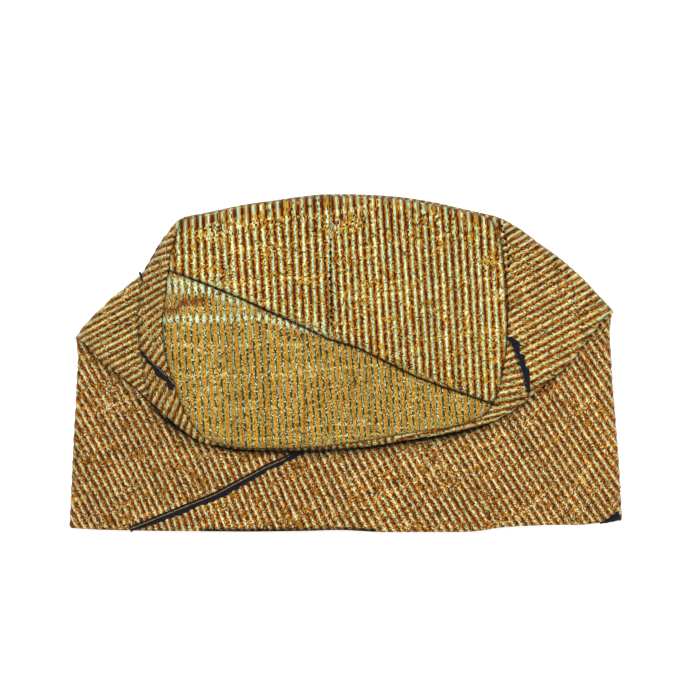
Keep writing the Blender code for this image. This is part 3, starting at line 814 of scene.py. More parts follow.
def add_node(tree: bpy.types.NodeTree, kind: str, settings: dict, **links) -> bpy.types.Node:
    """Adds a node with its settings and the sockets or values that feed it.

    Args:
        tree: the tree that the node goes into.
        kind: Blender's name for the kind of node.
        settings: properties to set on the node.
        **links: for each input, by name or as i and its number, a socket to link or a value.

    Returns:
        The new node.
    """
    node = tree.nodes.new(kind)
    for key, value in settings.items():
        setattr(node, key, value)
    for key, value in links.items():
        entry = node.inputs[int(key[1:])] if key[0] == "i" and key[1:].isdigit() else node.inputs[key]
        if isinstance(value, bpy.types.NodeSocket):
            tree.links.new(value, entry)
        else:
            entry.default_value = value
    return node


class GrownTree:
    """A Geometry Nodes tree with named inputs, applied to a piece as a plain mesh."""

    def __init__(self, name: str, inputs: dict[str, float]) -> None:
        """Starts a tree.

        Args:
            name: the tree's name.
            inputs: each named size with its value.
        """
        self.tree = bpy.data.node_groups.new(name, "GeometryNodeTree")
        face = self.tree.interface
        face.new_socket("Geometry", in_out="INPUT", socket_type="NodeSocketGeometry")
        for key, value in inputs.items():
            socket = face.new_socket(key, in_out="INPUT", socket_type="NodeSocketFloat")
            socket.default_value = value
        face.new_socket("Material", in_out="INPUT", socket_type="NodeSocketMaterial")
        face.new_socket("Geometry", in_out="OUTPUT", socket_type="NodeSocketGeometry")
        self.start = self.tree.nodes.new("NodeGroupInput")
        self.inputs = inputs

    def node(self, kind: str, settings: dict | None = None, **links) -> bpy.types.Node:
        """Adds a node to the tree."""
        return add_node(self.tree, kind, settings or {}, **links)

    def maths(self, operation: str, *values) -> bpy.types.NodeSocket:
        """The result of a sum on numbers or sockets."""
        links = {f"i{k}": value for k, value in enumerate(values)}
        return self.node("ShaderNodeMath", {"operation": operation}, **links).outputs[0]

    def close(self, geometry: bpy.types.NodeSocket) -> None:
        """Ends the tree with real meshes that carry their material."""
        real = self.node("GeometryNodeRealizeInstances", {}, Geometry=geometry)
        dressed = self.node("GeometryNodeSetMaterial", {}, Geometry=real.outputs[0],
                            Material=self.start.outputs["Material"])
        end = self.tree.nodes.new("NodeGroupOutput")
        self.tree.links.new(dressed.outputs[0], end.inputs[0])

    def applied(self, piece: bpy.types.Object, finish: bpy.types.Material) -> bpy.types.Object:
        """Runs the tree on a piece and leaves the result as the piece's plain mesh.

        Args:
            piece: the object that the tree grows on.
            finish: the material of what it grows.

        Returns:
            The same object with its new mesh.
        """
        piece.data = self.grown(piece, finish)
        return piece

    def grown(self, base: bpy.types.Object, finish: bpy.types.Material) -> bpy.types.Mesh:
        """The plain mesh that the tree grows on an object, which keeps no modifier."""
        growth = base.modifiers.new(self.tree.name, "NODES")
        growth.node_group = self.tree
        for item in self.tree.interface.items_tree:
            if item.in_out == "INPUT" and item.name in self.inputs:
                growth[item.identifier] = float(self.inputs[item.name])
            if item.in_out == "INPUT" and item.name == "Material":
                growth[item.identifier] = finish
        graph = bpy.context.evaluated_depsgraph_get()
        mesh = bpy.data.meshes.new_from_object(base.evaluated_get(graph), depsgraph=graph)
        mesh.name = base.name
        base.modifiers.clear()
        return mesh


class RibTree(GrownTree):
    """Raises the round ribs of the weave on a skin, from its rib_phase, relief and facing."""

    def __init__(self, height: float) -> None:
        """Builds the tree for ribs of a height in metres."""
        super().__init__("woven_ribs", {"Rib height": height})
        phase = self.node("GeometryNodeInputNamedAttribute", {"data_type": "FLOAT"}, Name="rib_phase")
        relief = self.node("GeometryNodeInputNamedAttribute", {"data_type": "FLOAT"}, Name="relief")
        facing = self.node("GeometryNodeInputNamedAttribute", {"data_type": "FLOAT_VECTOR"}, Name="facing")
        across = self.maths("FRACT", phase.outputs[0])
        off = self.maths("MULTIPLY_ADD", across, 2.0, -1.0)
        ridge = self.maths("SUBTRACT", 1.0, self.maths("MULTIPLY", off, off))
        tall = self.maths("MULTIPLY", ridge, self.start.outputs["Rib height"])
        raised = self.maths("MULTIPLY", tall, relief.outputs[0])
        push = self.node("ShaderNodeVectorMath", {"operation": "SCALE"}, i0=facing.outputs[0], Scale=raised)
        moved = self.node("GeometryNodeSetPosition", {}, Geometry=self.start.outputs["Geometry"],
                          Offset=push.outputs[0])
        self.close(moved.outputs[0])


def zipped(low: np.ndarray, low_ids: np.ndarray, high: np.ndarray, high_ids: np.ndarray,
           round_trip: float) -> np.ndarray:
    """Triangles between two rings of points that may differ in number.

    Args:
        low: places of the first ring's points round the cap, starting at 0.
        low_ids: the first ring's point numbers.
        high: places of the second ring's points, starting at 0.
        high_ids: the second ring's point numbers.
        round_trip: the place at which a ring closes.

    Returns:
        The triangles' point numbers.
    """
    low_run, high_run = np.r_[low, round_trip], np.r_[high, round_trip]
    beside = np.searchsorted(high_run, low_run[1:], "left") - 1
    lows = np.arange(len(low))
    first = np.column_stack([
        low_ids[lows], low_ids[(lows + 1) % len(low)], high_ids[beside % len(high)]])
    under = np.searchsorted(low_run, high_run[1:], "right") - 1
    highs = np.arange(len(high))
    second = np.column_stack([
        low_ids[under % len(low)], high_ids[(highs + 1) % len(high)], high_ids[highs]])
    return np.vstack([first, second])


@dataclass
class CapWall:
    """The cap's wall: a tube of lapped strips with two side wings."""

    form: FoldedForm
    grid: ClothGrid
    column_step: float = 0.76 * MM
    hidden_step: float = 2.2 * MM
    row_step: float = 1.25 * MM
    inner_rows_between: int = 3
    lap_lift: float = 0.9 * MM
    lap_reach: float = 9.0 * MM
    slit_lift: float = 1.1 * MM
    slit_reach: float = 5.0 * MM
    seam_dip: float = 0.9 * MM
    kink_dip: float = 0.6 * MM
    kink_reach: float = 1.6 * MM
    wing_breadth: float = 0.6
    left_shade: float = 0.07

    def columns_of(self, row: float) -> np.ndarray:
        """Places of one ring's points round the cap, close together where the cloth shows."""
        ends = np.r_[0, np.cumsum(self.form.columns)]
        tipped = row > self.grid.waist_row + self.form.crease_rows
        steps = (
            self.hidden_step if tipped else self.column_step,
            self.column_step,
            self.hidden_step,
            self.column_step,
            self.hidden_step if tipped else self.column_step,
        )
        places = []
        for start, end, step in zip(ends, ends[1:], steps):
            probe = np.linspace(start, end, 120)
            points = self.grid.at(probe, np.full(len(probe), float(row)))[0]
            run = np.r_[0, np.cumsum(np.linalg.norm(np.diff(points, axis=0), axis=1))]
            count = max(4, round(run[-1] / step))
            places.append(np.interp(np.linspace(0, run[-1], count, endpoint=False), run, probe))
        return np.concatenate(places)

    def row_places(self) -> np.ndarray:
        """Places of the rings up the cap, a row step apart where the cloth is seen most."""
        places = [0.0]
        for row in range(self.grid.seam_row):
            probe = np.linspace(0, self.grid.column_count, 97)[:-1]
            low = self.grid.at(probe, np.full(len(probe), float(row)))[0]
            high = self.grid.at(probe, np.full(len(probe), row + 1.0))[0]
            gap = np.percentile(np.linalg.norm(high - low, axis=1), 75)
            count = max(1, round(gap / self.row_step))
            places += spread(row, row + 1, count + 1)[1:]
        return np.array(places)

    def lifted(self, points: np.ndarray, normals: np.ndarray, row: np.ndarray) -> np.ndarray:
        """How far the outer face stands off or sinks at laps, slits and the crown seam."""
        front = (row <= self.grid.waist_row) & (normals[:, 2] > 0.3)
        over = above(LAP_LINE, points[:, :2])
        left = points[:, 0] < spot(BAND_SEAM_X, 0)[0]
        lap = np.where((over > 0) & left, 1 - smooth_step(0, self.lap_reach, over), 0)
        lift = self.lap_lift * np.where(front, lap, 0)
        wing = (row > self.grid.waist_row + 2) & (normals[:, 2] > 0.2)
        for line, side in ((LEFT_SLIT, 1), (RIGHT_SLIT, -1)):
            ends = line_metres(line)
            inside = (points[:, 1] < ends[0, 1]) & (points[:, 1] > ends[-1, 1])
            beyond = right_of(line, points[:, :2]) * side
            edge = np.where((beyond > 0) & inside & wing, 1 - smooth_step(0, self.slit_reach, beyond), 0)
            lift = lift + self.slit_lift * edge
        kink = np.where(wing & (points[:, 0] < 0), self.near(KINK_LINE, points, self.kink_reach), 0)
        rows_left = self.grid.seam_row - row
        dip = np.exp(-(rows_left / 0.55) ** 2)
        return lift - self.seam_dip * dip - self.kink_dip * kink

    @staticmethod
    def near(line: tuple[tuple[float, float], ...], points: np.ndarray, reach: float) -> np.ndarray:
        """How near points are to a line of the picture, from 1 on it to 0 well beyond the reach."""
        return np.exp(-(distance_to(line, points[:, :2]) / reach) ** 4)

    def shaded(self, points: np.ndarray, normals: np.ndarray, row: np.ndarray) -> np.ndarray:
        """How much painted shade darkens each place of the outer face, from 0 to 1, in folds, laps, slits and
        seams.
        """
        crease = self.grid.waist_row + self.form.crease_rows / 2
        up = normals[:, 2] > 0
        band = (row < crease) & up
        wing = (row > crease) & up
        front = wing & (points[:, 1] < spot(0, 443)[1])
        # Painted shade: the cloth grows a little darker towards its left side
        shade = self.left_shade * smooth_step(0.06, 0.11, -points[:, 0])
        # Painted shadow along the folds' edges, the tuck and under the front roll, and painted shade in the lap,
        # slits, kink and seams; a dark line along the hem
        for line, mine, reach, depth in (
            (LEFT_FOLD_LINE, band, 1.3 * MM, 0.95),
            (RIGHT_FOLD_LINE, band, 1.7 * MM, 0.95),
            (LEFT_FOLD_LINE[8:], band, 2.2 * MM, 1.0),
            (RIGHT_FOLD_LINE[9:], band, 2.5 * MM, 1.0),
            (LEFT_FOLD_LINE[8:], band, 5.0 * MM, 0.35),
            (RIGHT_FOLD_LINE[9:], band, 5.5 * MM, 0.35),
            (FRONT_SHADOW_LINE, band | front, 1.9 * MM, 1.0),
            (LEFT_TUCK_LINE, band, 0.8 * MM, 0.6),
            (HEM_LINE, band, 1.3 * MM, 0.95),
            (LAP_LINE[1:6], band & (above(LAP_LINE, points[:, :2]) > 0), 1.0 * MM, 0.9),
            (BAND_SEAM_LINE, band, 0.6 * MM, 0.25),
            (KINK_LINE, wing, 0.9 * MM, 0.6),
            (LEFT_SLIT, wing, 1.0 * MM, 0.9),
            (RIGHT_SLIT, wing, 1.0 * MM, 0.9),
        ):
            shade = np.where(mine, np.maximum(shade, depth * self.near(line, points, reach)), shade)
        # Painted shade in the groove of the crown seam
        rows_left = self.grid.seam_row - row
        return np.maximum(shade, 0.4 * np.exp(-(rows_left / 0.16) ** 2))

    def choose(self, points: np.ndarray, normals: np.ndarray, rows: np.ndarray) -> np.ndarray:
        """The number of the strip that each place of the wall belongs to."""
        number = {strip: k for k, strip in enumerate(Strip)}
        plan, up = points[:, :2], normals[:, 2]
        chosen = np.where(plan[:, 0] < 0, number[Strip.BACK_LEFT], number[Strip.BACK_RIGHT])
        crease = self.grid.waist_row + self.form.crease_rows / 2
        lower = (rows < crease) & (up > -0.35)
        right = plan[:, 0] >= spot(BAND_SEAM_X, 0)[0]
        under = above(LAP_LINE, plan) < 0
        band = np.where(right, number[Strip.RIGHT_BAND],
                        np.where(under, number[Strip.UNDER_BAND], number[Strip.LEFT_BAND]))
        kink = right_of(KINK_LINE, plan)
        slit = right_of(RIGHT_SLIT, plan)
        slit_top = line_metres(RIGHT_SLIT)[0, 1]
        wing = np.where(plan[:, 0] < 0,
                        np.where(kink < 0, number[Strip.LEFT_WING], number[Strip.LEFT_FOLD]),
                        np.where((slit < 0) & (plan[:, 1] < slit_top),
                                 number[Strip.RIGHT_FOLD], number[Strip.RIGHT_WING]))
        middle = (plan[:, 0] > spot(186, 0)[0]) & (plan[:, 0] < spot(474, 0)[0])
        wing = np.where(middle & (plan[:, 1] < spot(0, FRONT_ROLL_PIXEL)[1]),
                        number[Strip.FRONT_ROLL], wing)
        corner = (plan[:, 0] > spot(396, 0)[0]) & (plan[:, 0] < spot(505, 0)[0])
        wing = np.where(corner & (above(FRONT_RIGHT_LINE, plan) < 0), number[Strip.FRONT_RIGHT], wing)
        back_span = (plan[:, 0] > spot(176, 0)[0]) & (plan[:, 0] < spot(503, 0)[0])
        wing = np.where(back_span & (plan[:, 1] > spot(0, BACK_EDGE_PIXEL)[1]),
                        number[Strip.BACK_RISE], wing)
        tipped = (rows >= crease) & (up > -0.45)
        chosen = np.where(lower, band, chosen)
        return np.where(tipped, wing, chosen)

    def build(self, ribs: RibTree, finish: bpy.types.Material) -> bpy.types.Object:
        """The wall as one closed skin, ribbed outside and plain inside."""
        half = self.form.cloth / 2
        points, normals, row_of, relief, shade, bright, faces = [], [], [], [], [], [], []
        count = 0

        def ring(row: float, columns: np.ndarray, side: int) -> tuple[np.ndarray, np.ndarray]:
            """Adds a ring of one face of the cloth, and gives its places and numbers."""
            nonlocal count
            rows = np.full(len(columns), row)
            middle, facing = self.grid.at(columns, rows)
            off = half * side + (self.lifted(middle, facing, rows) if side > 0 else 0)
            points.append(middle + facing * np.reshape(off, (-1, 1)))
            normals.append(facing)
            row_of.append(rows)
            shade.append(self.shaded(middle, facing, rows) if side > 0 else np.zeros(len(rows)))
            bright.append(np.full(len(rows), self.wing_breadth if row > self.grid.waist_row + 2 else 0.0))
            end = min(row, self.grid.seam_row - row)
            shows = smooth_step(-0.6, -0.2, facing[:, 2]) * min(1, end / 0.05)
            relief.append(shows if side > 0 else np.zeros(len(rows)))
            ids = np.arange(count, count + len(columns))
            count += len(columns)
            return columns, ids

        rows = self.row_places()
        outer = [ring(row, self.columns_of(row), 1) for row in rows]
        inner_columns = np.linspace(0, self.grid.column_count, 2 * self.grid.column_count, endpoint=False)
        inner_rows = rows[:: self.inner_rows_between]
        inner_rows = np.r_[inner_rows[inner_rows < rows[-1]], rows[-1]]
        inner = [ring(row, inner_columns, -1) for row in inner_rows]
        trip = float(self.grid.column_count)
        for low, high in zip(outer, outer[1:]):
            faces.append(zipped(*low, *high, trip))
        for low, high in zip(inner, inner[1:]):
            faces.append(zipped(*low, *high, trip)[:, ::-1])
        faces.append(zipped(*inner[0], *outer[0], trip))
        faces.append(zipped(*outer[-1], *inner[-1], trip))
        skin = WovenSkin(
            np.vstack(points), np.vstack(normals), np.concatenate(row_of), np.concatenate(relief),
            np.concatenate(shade), np.concatenate(bright), np.vstack(faces))
        return skin.made("wall_cloth", self.choose, ribs, finish)


@dataclass
class CapCrown:
    """The cap's crown: two panels of strip cloth that meet in a stitched diagonal seam."""

    form: FoldedForm
    grid: ClothGrid
    steps: int = 236
    piece_gap: float = 0.4 * MM
    seam_dip: float = 0.8 * MM
    seam_reach: float = 1.8 * MM
    edge_dip: float = 0.5 * MM
    edge_shade: float = 0.8 * MM
    dent_reach: float = 2.4 * MM

    def places(self) -> tuple[np.ndarray, np.ndarray, np.ndarray]:
        """A square grid of places laid over the oval crown: columns, shares out and its ids."""
        side = np.linspace(-1, 1, self.steps + 1)
        across, up = np.meshgrid(side, side)
        reach = np.maximum(np.abs(across), np.abs(up))
        turn = np.arctan2(up, across)
        flat = np.where(np.abs(across) >= np.abs(up),
                        up / np.where(across == 0, 1, across) * math.pi / 4,
                        math.pi / 2 - across / np.where(up == 0, 1, up) * math.pi / 4)
        turn = np.where((np.abs(across) >= np.abs(up)) & (across < 0), flat + math.pi, flat)
        turn = np.where((np.abs(across) < np.abs(up)) & (up < 0), flat + math.pi, turn)
        turn = np.where(reach == 0, 0, turn)
        return turn, reach, np.arange(reach.size).reshape(reach.shape)

    def column_at(self, turn: np.ndarray) -> np.ndarray:
        """The column whose seam point lies in each direction from the crown's middle."""
        seam = self.grid.points[self.grid.seam_row]
        centre = seam.mean(axis=0)
        columns = np.linspace(0, self.grid.column_count, 960, endpoint=False)
        rows = np.full(len(columns), float(self.grid.seam_row))
        ring = self.grid.at(columns, rows)[0] - centre
        heading = np.arctan2(ring[:, 1] / self.form.crown_depth, ring[:, 0] / (2 * self.form.crown_left))
        heading = np.unwrap(heading)
        order = np.argsort(heading)
        low = heading[order][0]
        wanted = low + np.mod(turn - low, 2 * math.pi)
        unrolled = np.unwrap(columns[order], period=self.grid.column_count)
        headings = np.r_[heading[order], heading[order][0] + 2 * math.pi]
        unrolled = np.r_[unrolled, unrolled[0] + self.grid.column_count * np.sign(unrolled[-1] - unrolled[0])]
        return np.mod(np.interp(wanted, headings, unrolled), self.grid.column_count)

    def row_at(self, share: np.ndarray) -> np.ndarray:
        """The row at a share of the way from the crown's middle to its seam."""
        shares = np.r_[1.0, self.form.crown_row_shares, 0.0]
        rows = self.grid.seam_row + np.arange(len(shares))
        return np.interp(share, shares[::-1], rows[::-1])

    def diagonal(self) -> tuple[Vector, Vector]:
        """A point of the diagonal seam and the direction square to it, up the crown."""
        line = line_metres(DIAGONAL_LINE)
        start, end = line[0], line[-1]
        along = (end - start) / np.linalg.norm(end - start)
        middle = (start + end) / 2
        return Vector((middle[0], middle[1], 0)), Vector((-along[1], along[0], 0))

    def surface(self) -> tuple[np.ndarray, ...]:
        """Points, normals, relief, shade and brightness of the crown's outer face."""
        turn, reach, _ = self.places()
        first = 1 - self.piece_gap / (self.form.crown_depth / 2)
        column = self.column_at(turn.ravel())
        row = self.row_at(np.clip(reach.ravel() * first, 0, first))
        points, normals = self.grid.at(column, row)
        middle, square = self.diagonal()
        off = (points[:, :2] - np.array(middle[:2])) @ np.array(square[:2])
        seam = np.exp(-(off / self.seam_reach) ** 2)
        edge = np.exp(-((1 - reach.ravel()) * self.form.crown_depth / 2 / self.seam_reach) ** 2)
        dip = self.seam_dip * seam + self.edge_dip * edge
        points = points + normals * (self.form.cloth / 2 - dip)[:, None]
        relief = np.clip(1 - 0.75 * seam - 0.6 * edge, 0, 1)
        # Painted shade: darker at the crown's edge seam, along the diagonal, upper and lower seams and in the
        # dent's crease
        shade = 0.5 * np.exp(-((1 - reach.ravel()) * self.form.crown_depth / 2 / self.edge_shade) ** 2)
        for line, reach_of, depth in (
            (DIAGONAL_LINE, 0.9 * MM, 0.95),
            (UPPER_SEAM_LINE, 0.8 * MM, 0.45),
            (LOWER_SEAM_LINE, 0.8 * MM, 0.45),
            (DENT_LINE, 3.0 * MM, 0.42),
        ):
            shade = np.maximum(shade, depth * np.exp(-(distance_to(line, points[:, :2]) / reach_of) ** 2))
        bright = np.zeros(len(points))
        for line, reach_of in BRIGHT_LINES:
            bright = np.maximum(bright, np.exp(-(distance_to(line, points[:, :2]) / reach_of) ** 4))
        bright -= np.exp(-(distance_to(DENT_LINE, points[:, :2]) / self.dent_reach) ** 2)
        return points, normals, relief, shade, bright

    def choose(self, points: np.ndarray, _normals: np.ndarray, _rows: np.ndarray) -> np.ndarray:
        """The number of the strip that each place of the crown belongs to."""
        number = {strip: k for k, strip in enumerate(Strip)}
        middle, square = self.diagonal()
        off = (points[:, :2] - np.array(middle[:2])) @ np.array(square[:2])
        upper = np.where(points[:, 0] < spot(UPPER_SEAM_X, 0)[0],
                         number[Strip.CROWN_UPPER_LEFT], number[Strip.CROWN_UPPER_RIGHT])
        lower = np.where(points[:, 0] < spot(LOWER_SEAM_X, 0)[0],
                         number[Strip.CROWN_LOWER_LEFT], number[Strip.CROWN_LOWER_RIGHT])
        return np.where(off > 0, upper, lower)

    def build(self, ribs: RibTree, finishes: dict[str, bpy.types.Material]) -> list[bpy.types.Object]:
        """The two panels, each a closed skin of cloth."""
        ids = self.places()[2]
        quads = np.stack([ids[:-1, :-1], ids[:-1, 1:], ids[1:, 1:], ids[1:, :-1]], axis=-1).reshape(-1, 4)
        surface = self.surface()
        middle, square = self.diagonal()
        off = (surface[0][:, :2] - np.array(middle[:2])) @ np.array(square[:2])
        pieces = []
        for name, side in (("crown_upper", 1), ("crown_lower", -1)):
            near = (off[quads] * side > -0.004).any(axis=1)
            pieces.append(self.panel(name, side, surface, quads[near], ribs, finishes[name]))
        return pieces

    def panel(self, name: str, side: int, surface: tuple[np.ndarray, ...], quads: np.ndarray,
              ribs: RibTree, finish: bpy.types.Material) -> bpy.types.Object:
        """One panel of the crown.

        Args:
            name: the solid that the panel stands for.
            side: 1 for the panel above the diagonal seam, -1 for the one below.
            surface: the outer face's points, normals, relief, shade and brightness.
            quads: its faces.
            ribs: the tree that raises the ribs.
            finish: the cloth's material.

        Returns:
            The panel as a plain mesh.
        """
        points, normals, *marks = surface
        mesh = bmesh.new()
        layers = [mesh.verts.layers.float.new(name) for name in ("relief", "shade", "bright")]
        facing = mesh.verts.layers.float_vector.new("facing")
        used = np.unique(quads)
        made = {}
        for k in used:
            vert = mesh.verts.new(points[k])
            for layer, values in zip(layers, marks):
                vert[layer] = values[k]
            vert[facing] = normals[k]
            made[k] = vert
        for quad in quads:
            mesh.faces.new([made[k] for k in quad])
        middle, square = self.diagonal()
        bmesh.ops.bisect_plane(
            mesh, geom=mesh.verts[:] + mesh.edges[:] + mesh.faces[:], plane_co=middle,
            plane_no=square * side, clear_inner=True)
        bmesh.ops.triangulate(mesh, faces=mesh.faces[:])
        bmesh.ops.recalc_face_normals(mesh, faces=mesh.faces[:])
        mesh.verts.ensure_lookup_table()
        outer = np.array([vert.co for vert in mesh.verts])
        out = unit(np.array([vert[facing] for vert in mesh.verts]))
        relief, shade, bright = ([vert[layer] for vert in mesh.verts] for layer in layers)
        rim = [(edge.verts[0].index, edge.verts[1].index) for edge in mesh.edges if edge.is_boundary]
        tris = np.array([[vert.index for vert in face.verts] for face in mesh.faces])
        mesh.free()
        count = len(outer)
        inner = outer - out * self.form.cloth
        walls = []
        for a, b in rim:
            walls += [(a, b, b + count), (a, b + count, a + count)]
        skin = WovenSkin(
            np.vstack([outer, inner]), np.vstack([out, out]), np.full(2 * count, float(self.grid.seam_row)),
            np.r_[relief, np.zeros(count)], np.r_[shade, shade], np.r_[bright, bright],
            np.vstack([tris, tris[:, ::-1] + count, np.array(walls)]))
        piece = skin.made(f"{name}_cloth", self.choose, ribs, finish)
        tidy = bmesh.new()
        tidy.from_mesh(piece.data)
        bmesh.ops.recalc_face_normals(tidy, faces=tidy.faces)
        tidy.to_mesh(piece.data)
        tidy.free()
        return piece


def height_on(ground: BVHTree, x: float, y: float) -> float:
    """Height of the cloth at a place on the table, or of its nearest edge beside it."""
    hit = ground.ray_cast(Vector((x, y, 1)), Vector((0, 0, -1)))[0]
    if hit is None:
        hit = ground.find_nearest(Vector((x, y, 0.01)))[0]
    return hit.z


@dataclass
class Selvage:
    """A black selvage: the ragged edge of a strip that shows beside the strip lapped over it."""

    name: str
    stations: tuple[tuple[float, float, float], ...]
    side: int = 1
    ragged: float = 0.45
    cloth: float = 0.5 * MM
    lift: float = 0.25 * MM
    step: float = 0.9 * MM
    sink: float = 0.6 * MM
    seed: int = 4

    def line(self) -> tuple[np.ndarray, np.ndarray]:
        """The straight edge's points on the table and the selvage's width at each."""
        table = np.array(self.stations)
        places = np.array([spot(px, py) for px, py in table[:, :2]])
        run = np.r_[0, np.cumsum(np.linalg.norm(np.diff(places, axis=0), axis=1))]
        steps = np.linspace(0, run[-1], max(8, round(run[-1] / self.step)))
        line = np.column_stack([np.interp(steps, run, places[:, axis]) for axis in (0, 1)])
        return line, np.interp(steps, run, table[:, 2]) * PIXEL

    def build(self, ground: BVHTree, finish: bpy.types.Material) -> bpy.types.Object:
        """The selvage as a thin closed strip that lies on the cloth under it.

        Args:
            ground: the wall's surface.
            finish: the black cotton.

        Returns:
            The selvage.
        """
        line, widths = self.line()
        chance = np.random.default_rng(self.seed)
        ahead = unit(np.gradient(line, axis=0))
        aside = np.column_stack([-ahead[:, 1], ahead[:, 0]]) * self.side
        wander = np.convolve(chance.uniform(-1, 1, len(line) + 2), (0.25, 0.5, 0.25), "valid")
        widths = widths * (1 + self.ragged * wander)
        mesh = bmesh.new()
        tops, bottoms = [], []
        for place, out, width in zip(line, aside, widths):
            top_row, bottom_row = [], []
            for share in (-0.25, 0.25, 0.75, 1.0):
                x, y = place + out * width * share
                height = height_on(ground, x, y) + self.lift - (self.sink if share < 0 else 0)
                top_row.append(mesh.verts.new((x, y, height + self.cloth * (1 - 0.6 * max(0, share)))))
                bottom_row.append(mesh.verts.new((x, y, height - self.cloth)))
            tops.append(top_row)
            bottoms.append(bottom_row)
        last = len(tops[0]) - 1
        for k in range(len(tops) - 1):
            for j in range(last):
                mesh.faces.new((tops[k][j], tops[k][j + 1], tops[k + 1][j + 1], tops[k + 1][j]))
                mesh.faces.new((bottoms[k][j], bottoms[k + 1][j], bottoms[k + 1][j + 1], bottoms[k][j + 1]))
            for j in (0, last):
                mesh.faces.new((tops[k][j], tops[k + 1][j], bottoms[k + 1][j], bottoms[k][j]))
        for k in (0, -1):
            for j in range(last):
                mesh.faces.new((tops[k][j], bottoms[k][j], bottoms[k][j + 1], tops[k][j + 1]))
        bmesh.ops.recalc_face_normals(mesh, faces=mesh.faces)
        data = bpy.data.meshes.new(self.name)
        mesh.to_mesh(data)
        mesh.free()
        data.materials.append(finish)
        piece = bpy.data.objects.new(self.name, data)
        bpy.context.scene.collection.objects.link(piece)
        return piece


SELVAGES = {
    "front_selvage": Selvage("front_selvage_edge", (
        (129, 530.5, 2.2), (150, 522.5, 2.8), (175, 512, 4.6), (190, 506, 4.0), (215, 495.6, 4.6),
        (240, 483, 4.0), (265, 469, 3.6), (282, 461, 3.2), (296, 454, 3.4), (304, 451.5, 2.6)), side=-1),
    "left_selvage": Selvage("left_selvage_edge", (
        (141.5, 350.5, 2.0), (150, 360, 4.0), (159, 368.5, 5.0), (168, 377, 6.5), (177.5, 386.5, 6.0)),
        side=-1, seed=7),
    "right_selvage": Selvage("right_selvage_edge", (
        (508, 338, 3.0), (512, 346, 6.4), (516.4, 356, 6.2), (521, 369.5, 5.6), (525.4, 384.6, 4.8),
        (527, 392, 3.0)), side=1, seed=9),
    "corner_selvage": Selvage("corner_selvage_edge", (
        (601, 524.5, 0.8), (608, 523, 3.6), (615, 521, 5.4), (622, 518.5, 7.0)), side=1, seed=11),
}


@dataclass
class ThreadLine:
    """A fine cord or row of stitches that follows a line of the picture over the cloth."""

    name: str
    line: tuple[tuple[float, float], ...]
    radius: float = 0.22 * MM
    step: float = 1.2 * MM
    lift: float = 0.1 * MM

    def points(self, ground: BVHTree) -> list[Vector]:
        """The line's points, laid on the cloth."""
        places = line_metres(self.line)
        run = np.r_[0, np.cumsum(np.linalg.norm(np.diff(places, axis=0), axis=1))]
        steps = np.linspace(0, run[-1], max(4, round(run[-1] / self.step)))
        spots = []
        for step in steps:
            x, y = (float(np.interp(step, run, places[:, axis])) for axis in (0, 1))
            spots.append(Vector((x, y, height_on(ground, x, y) + self.lift)))
        heights = np.convolve([s.z for s in spots[:1] + spots + spots[-1:]], (0.25, 0.5, 0.25), "valid")
        for place, height in zip(spots, heights):
            place.z = height
        return spots

    def curve(self, ground: BVHTree) -> bpy.types.Object:
        """The line as a curve object."""
        spots = self.points(ground)
        data = bpy.data.curves.new(self.name, "CURVE")
        data.dimensions = "3D"
        spline = data.splines.new("POLY")
        spline.points.add(len(spots) - 1)
        for point, place in zip(spline.points, spots):
            point.co = (*place, 1)
        piece = bpy.data.objects.new(self.name, data)
        bpy.context.scene.collection.objects.link(piece)
        return piece

    def cord(self, ground: BVHTree, finish: bpy.types.Material) -> bpy.types.Object:
        """The line as a thin round cord, a plain closed mesh."""
        guide = self.curve(ground)
        guide.data.bevel_depth = self.radius
        guide.data.bevel_resolution = 1
        guide.data.use_fill_caps = True
        return self.meshed(guide, finish)

    @staticmethod
    def meshed(guide: bpy.types.Object, finish: bpy.types.Material) -> bpy.types.Object:
        """A curve object turned into a plain mesh object with closed caps."""
        graph = bpy.context.evaluated_depsgraph_get()
        data = bpy.data.meshes.new_from_object(guide.evaluated_get(graph), depsgraph=graph)
        name = guide.name
        bpy.data.objects.remove(guide)
        tidy = bmesh.new()
        tidy.from_mesh(data)
        bmesh.ops.remove_doubles(tidy, verts=tidy.verts, dist=1e-6)
        bmesh.ops.recalc_face_normals(tidy, faces=tidy.faces)
        tidy.to_mesh(data)
        tidy.free()
        data.materials.clear()
        data.materials.append(finish)
        piece = bpy.data.objects.new(name, data)
        bpy.context.scene.collection.objects.link(piece)
        return piece


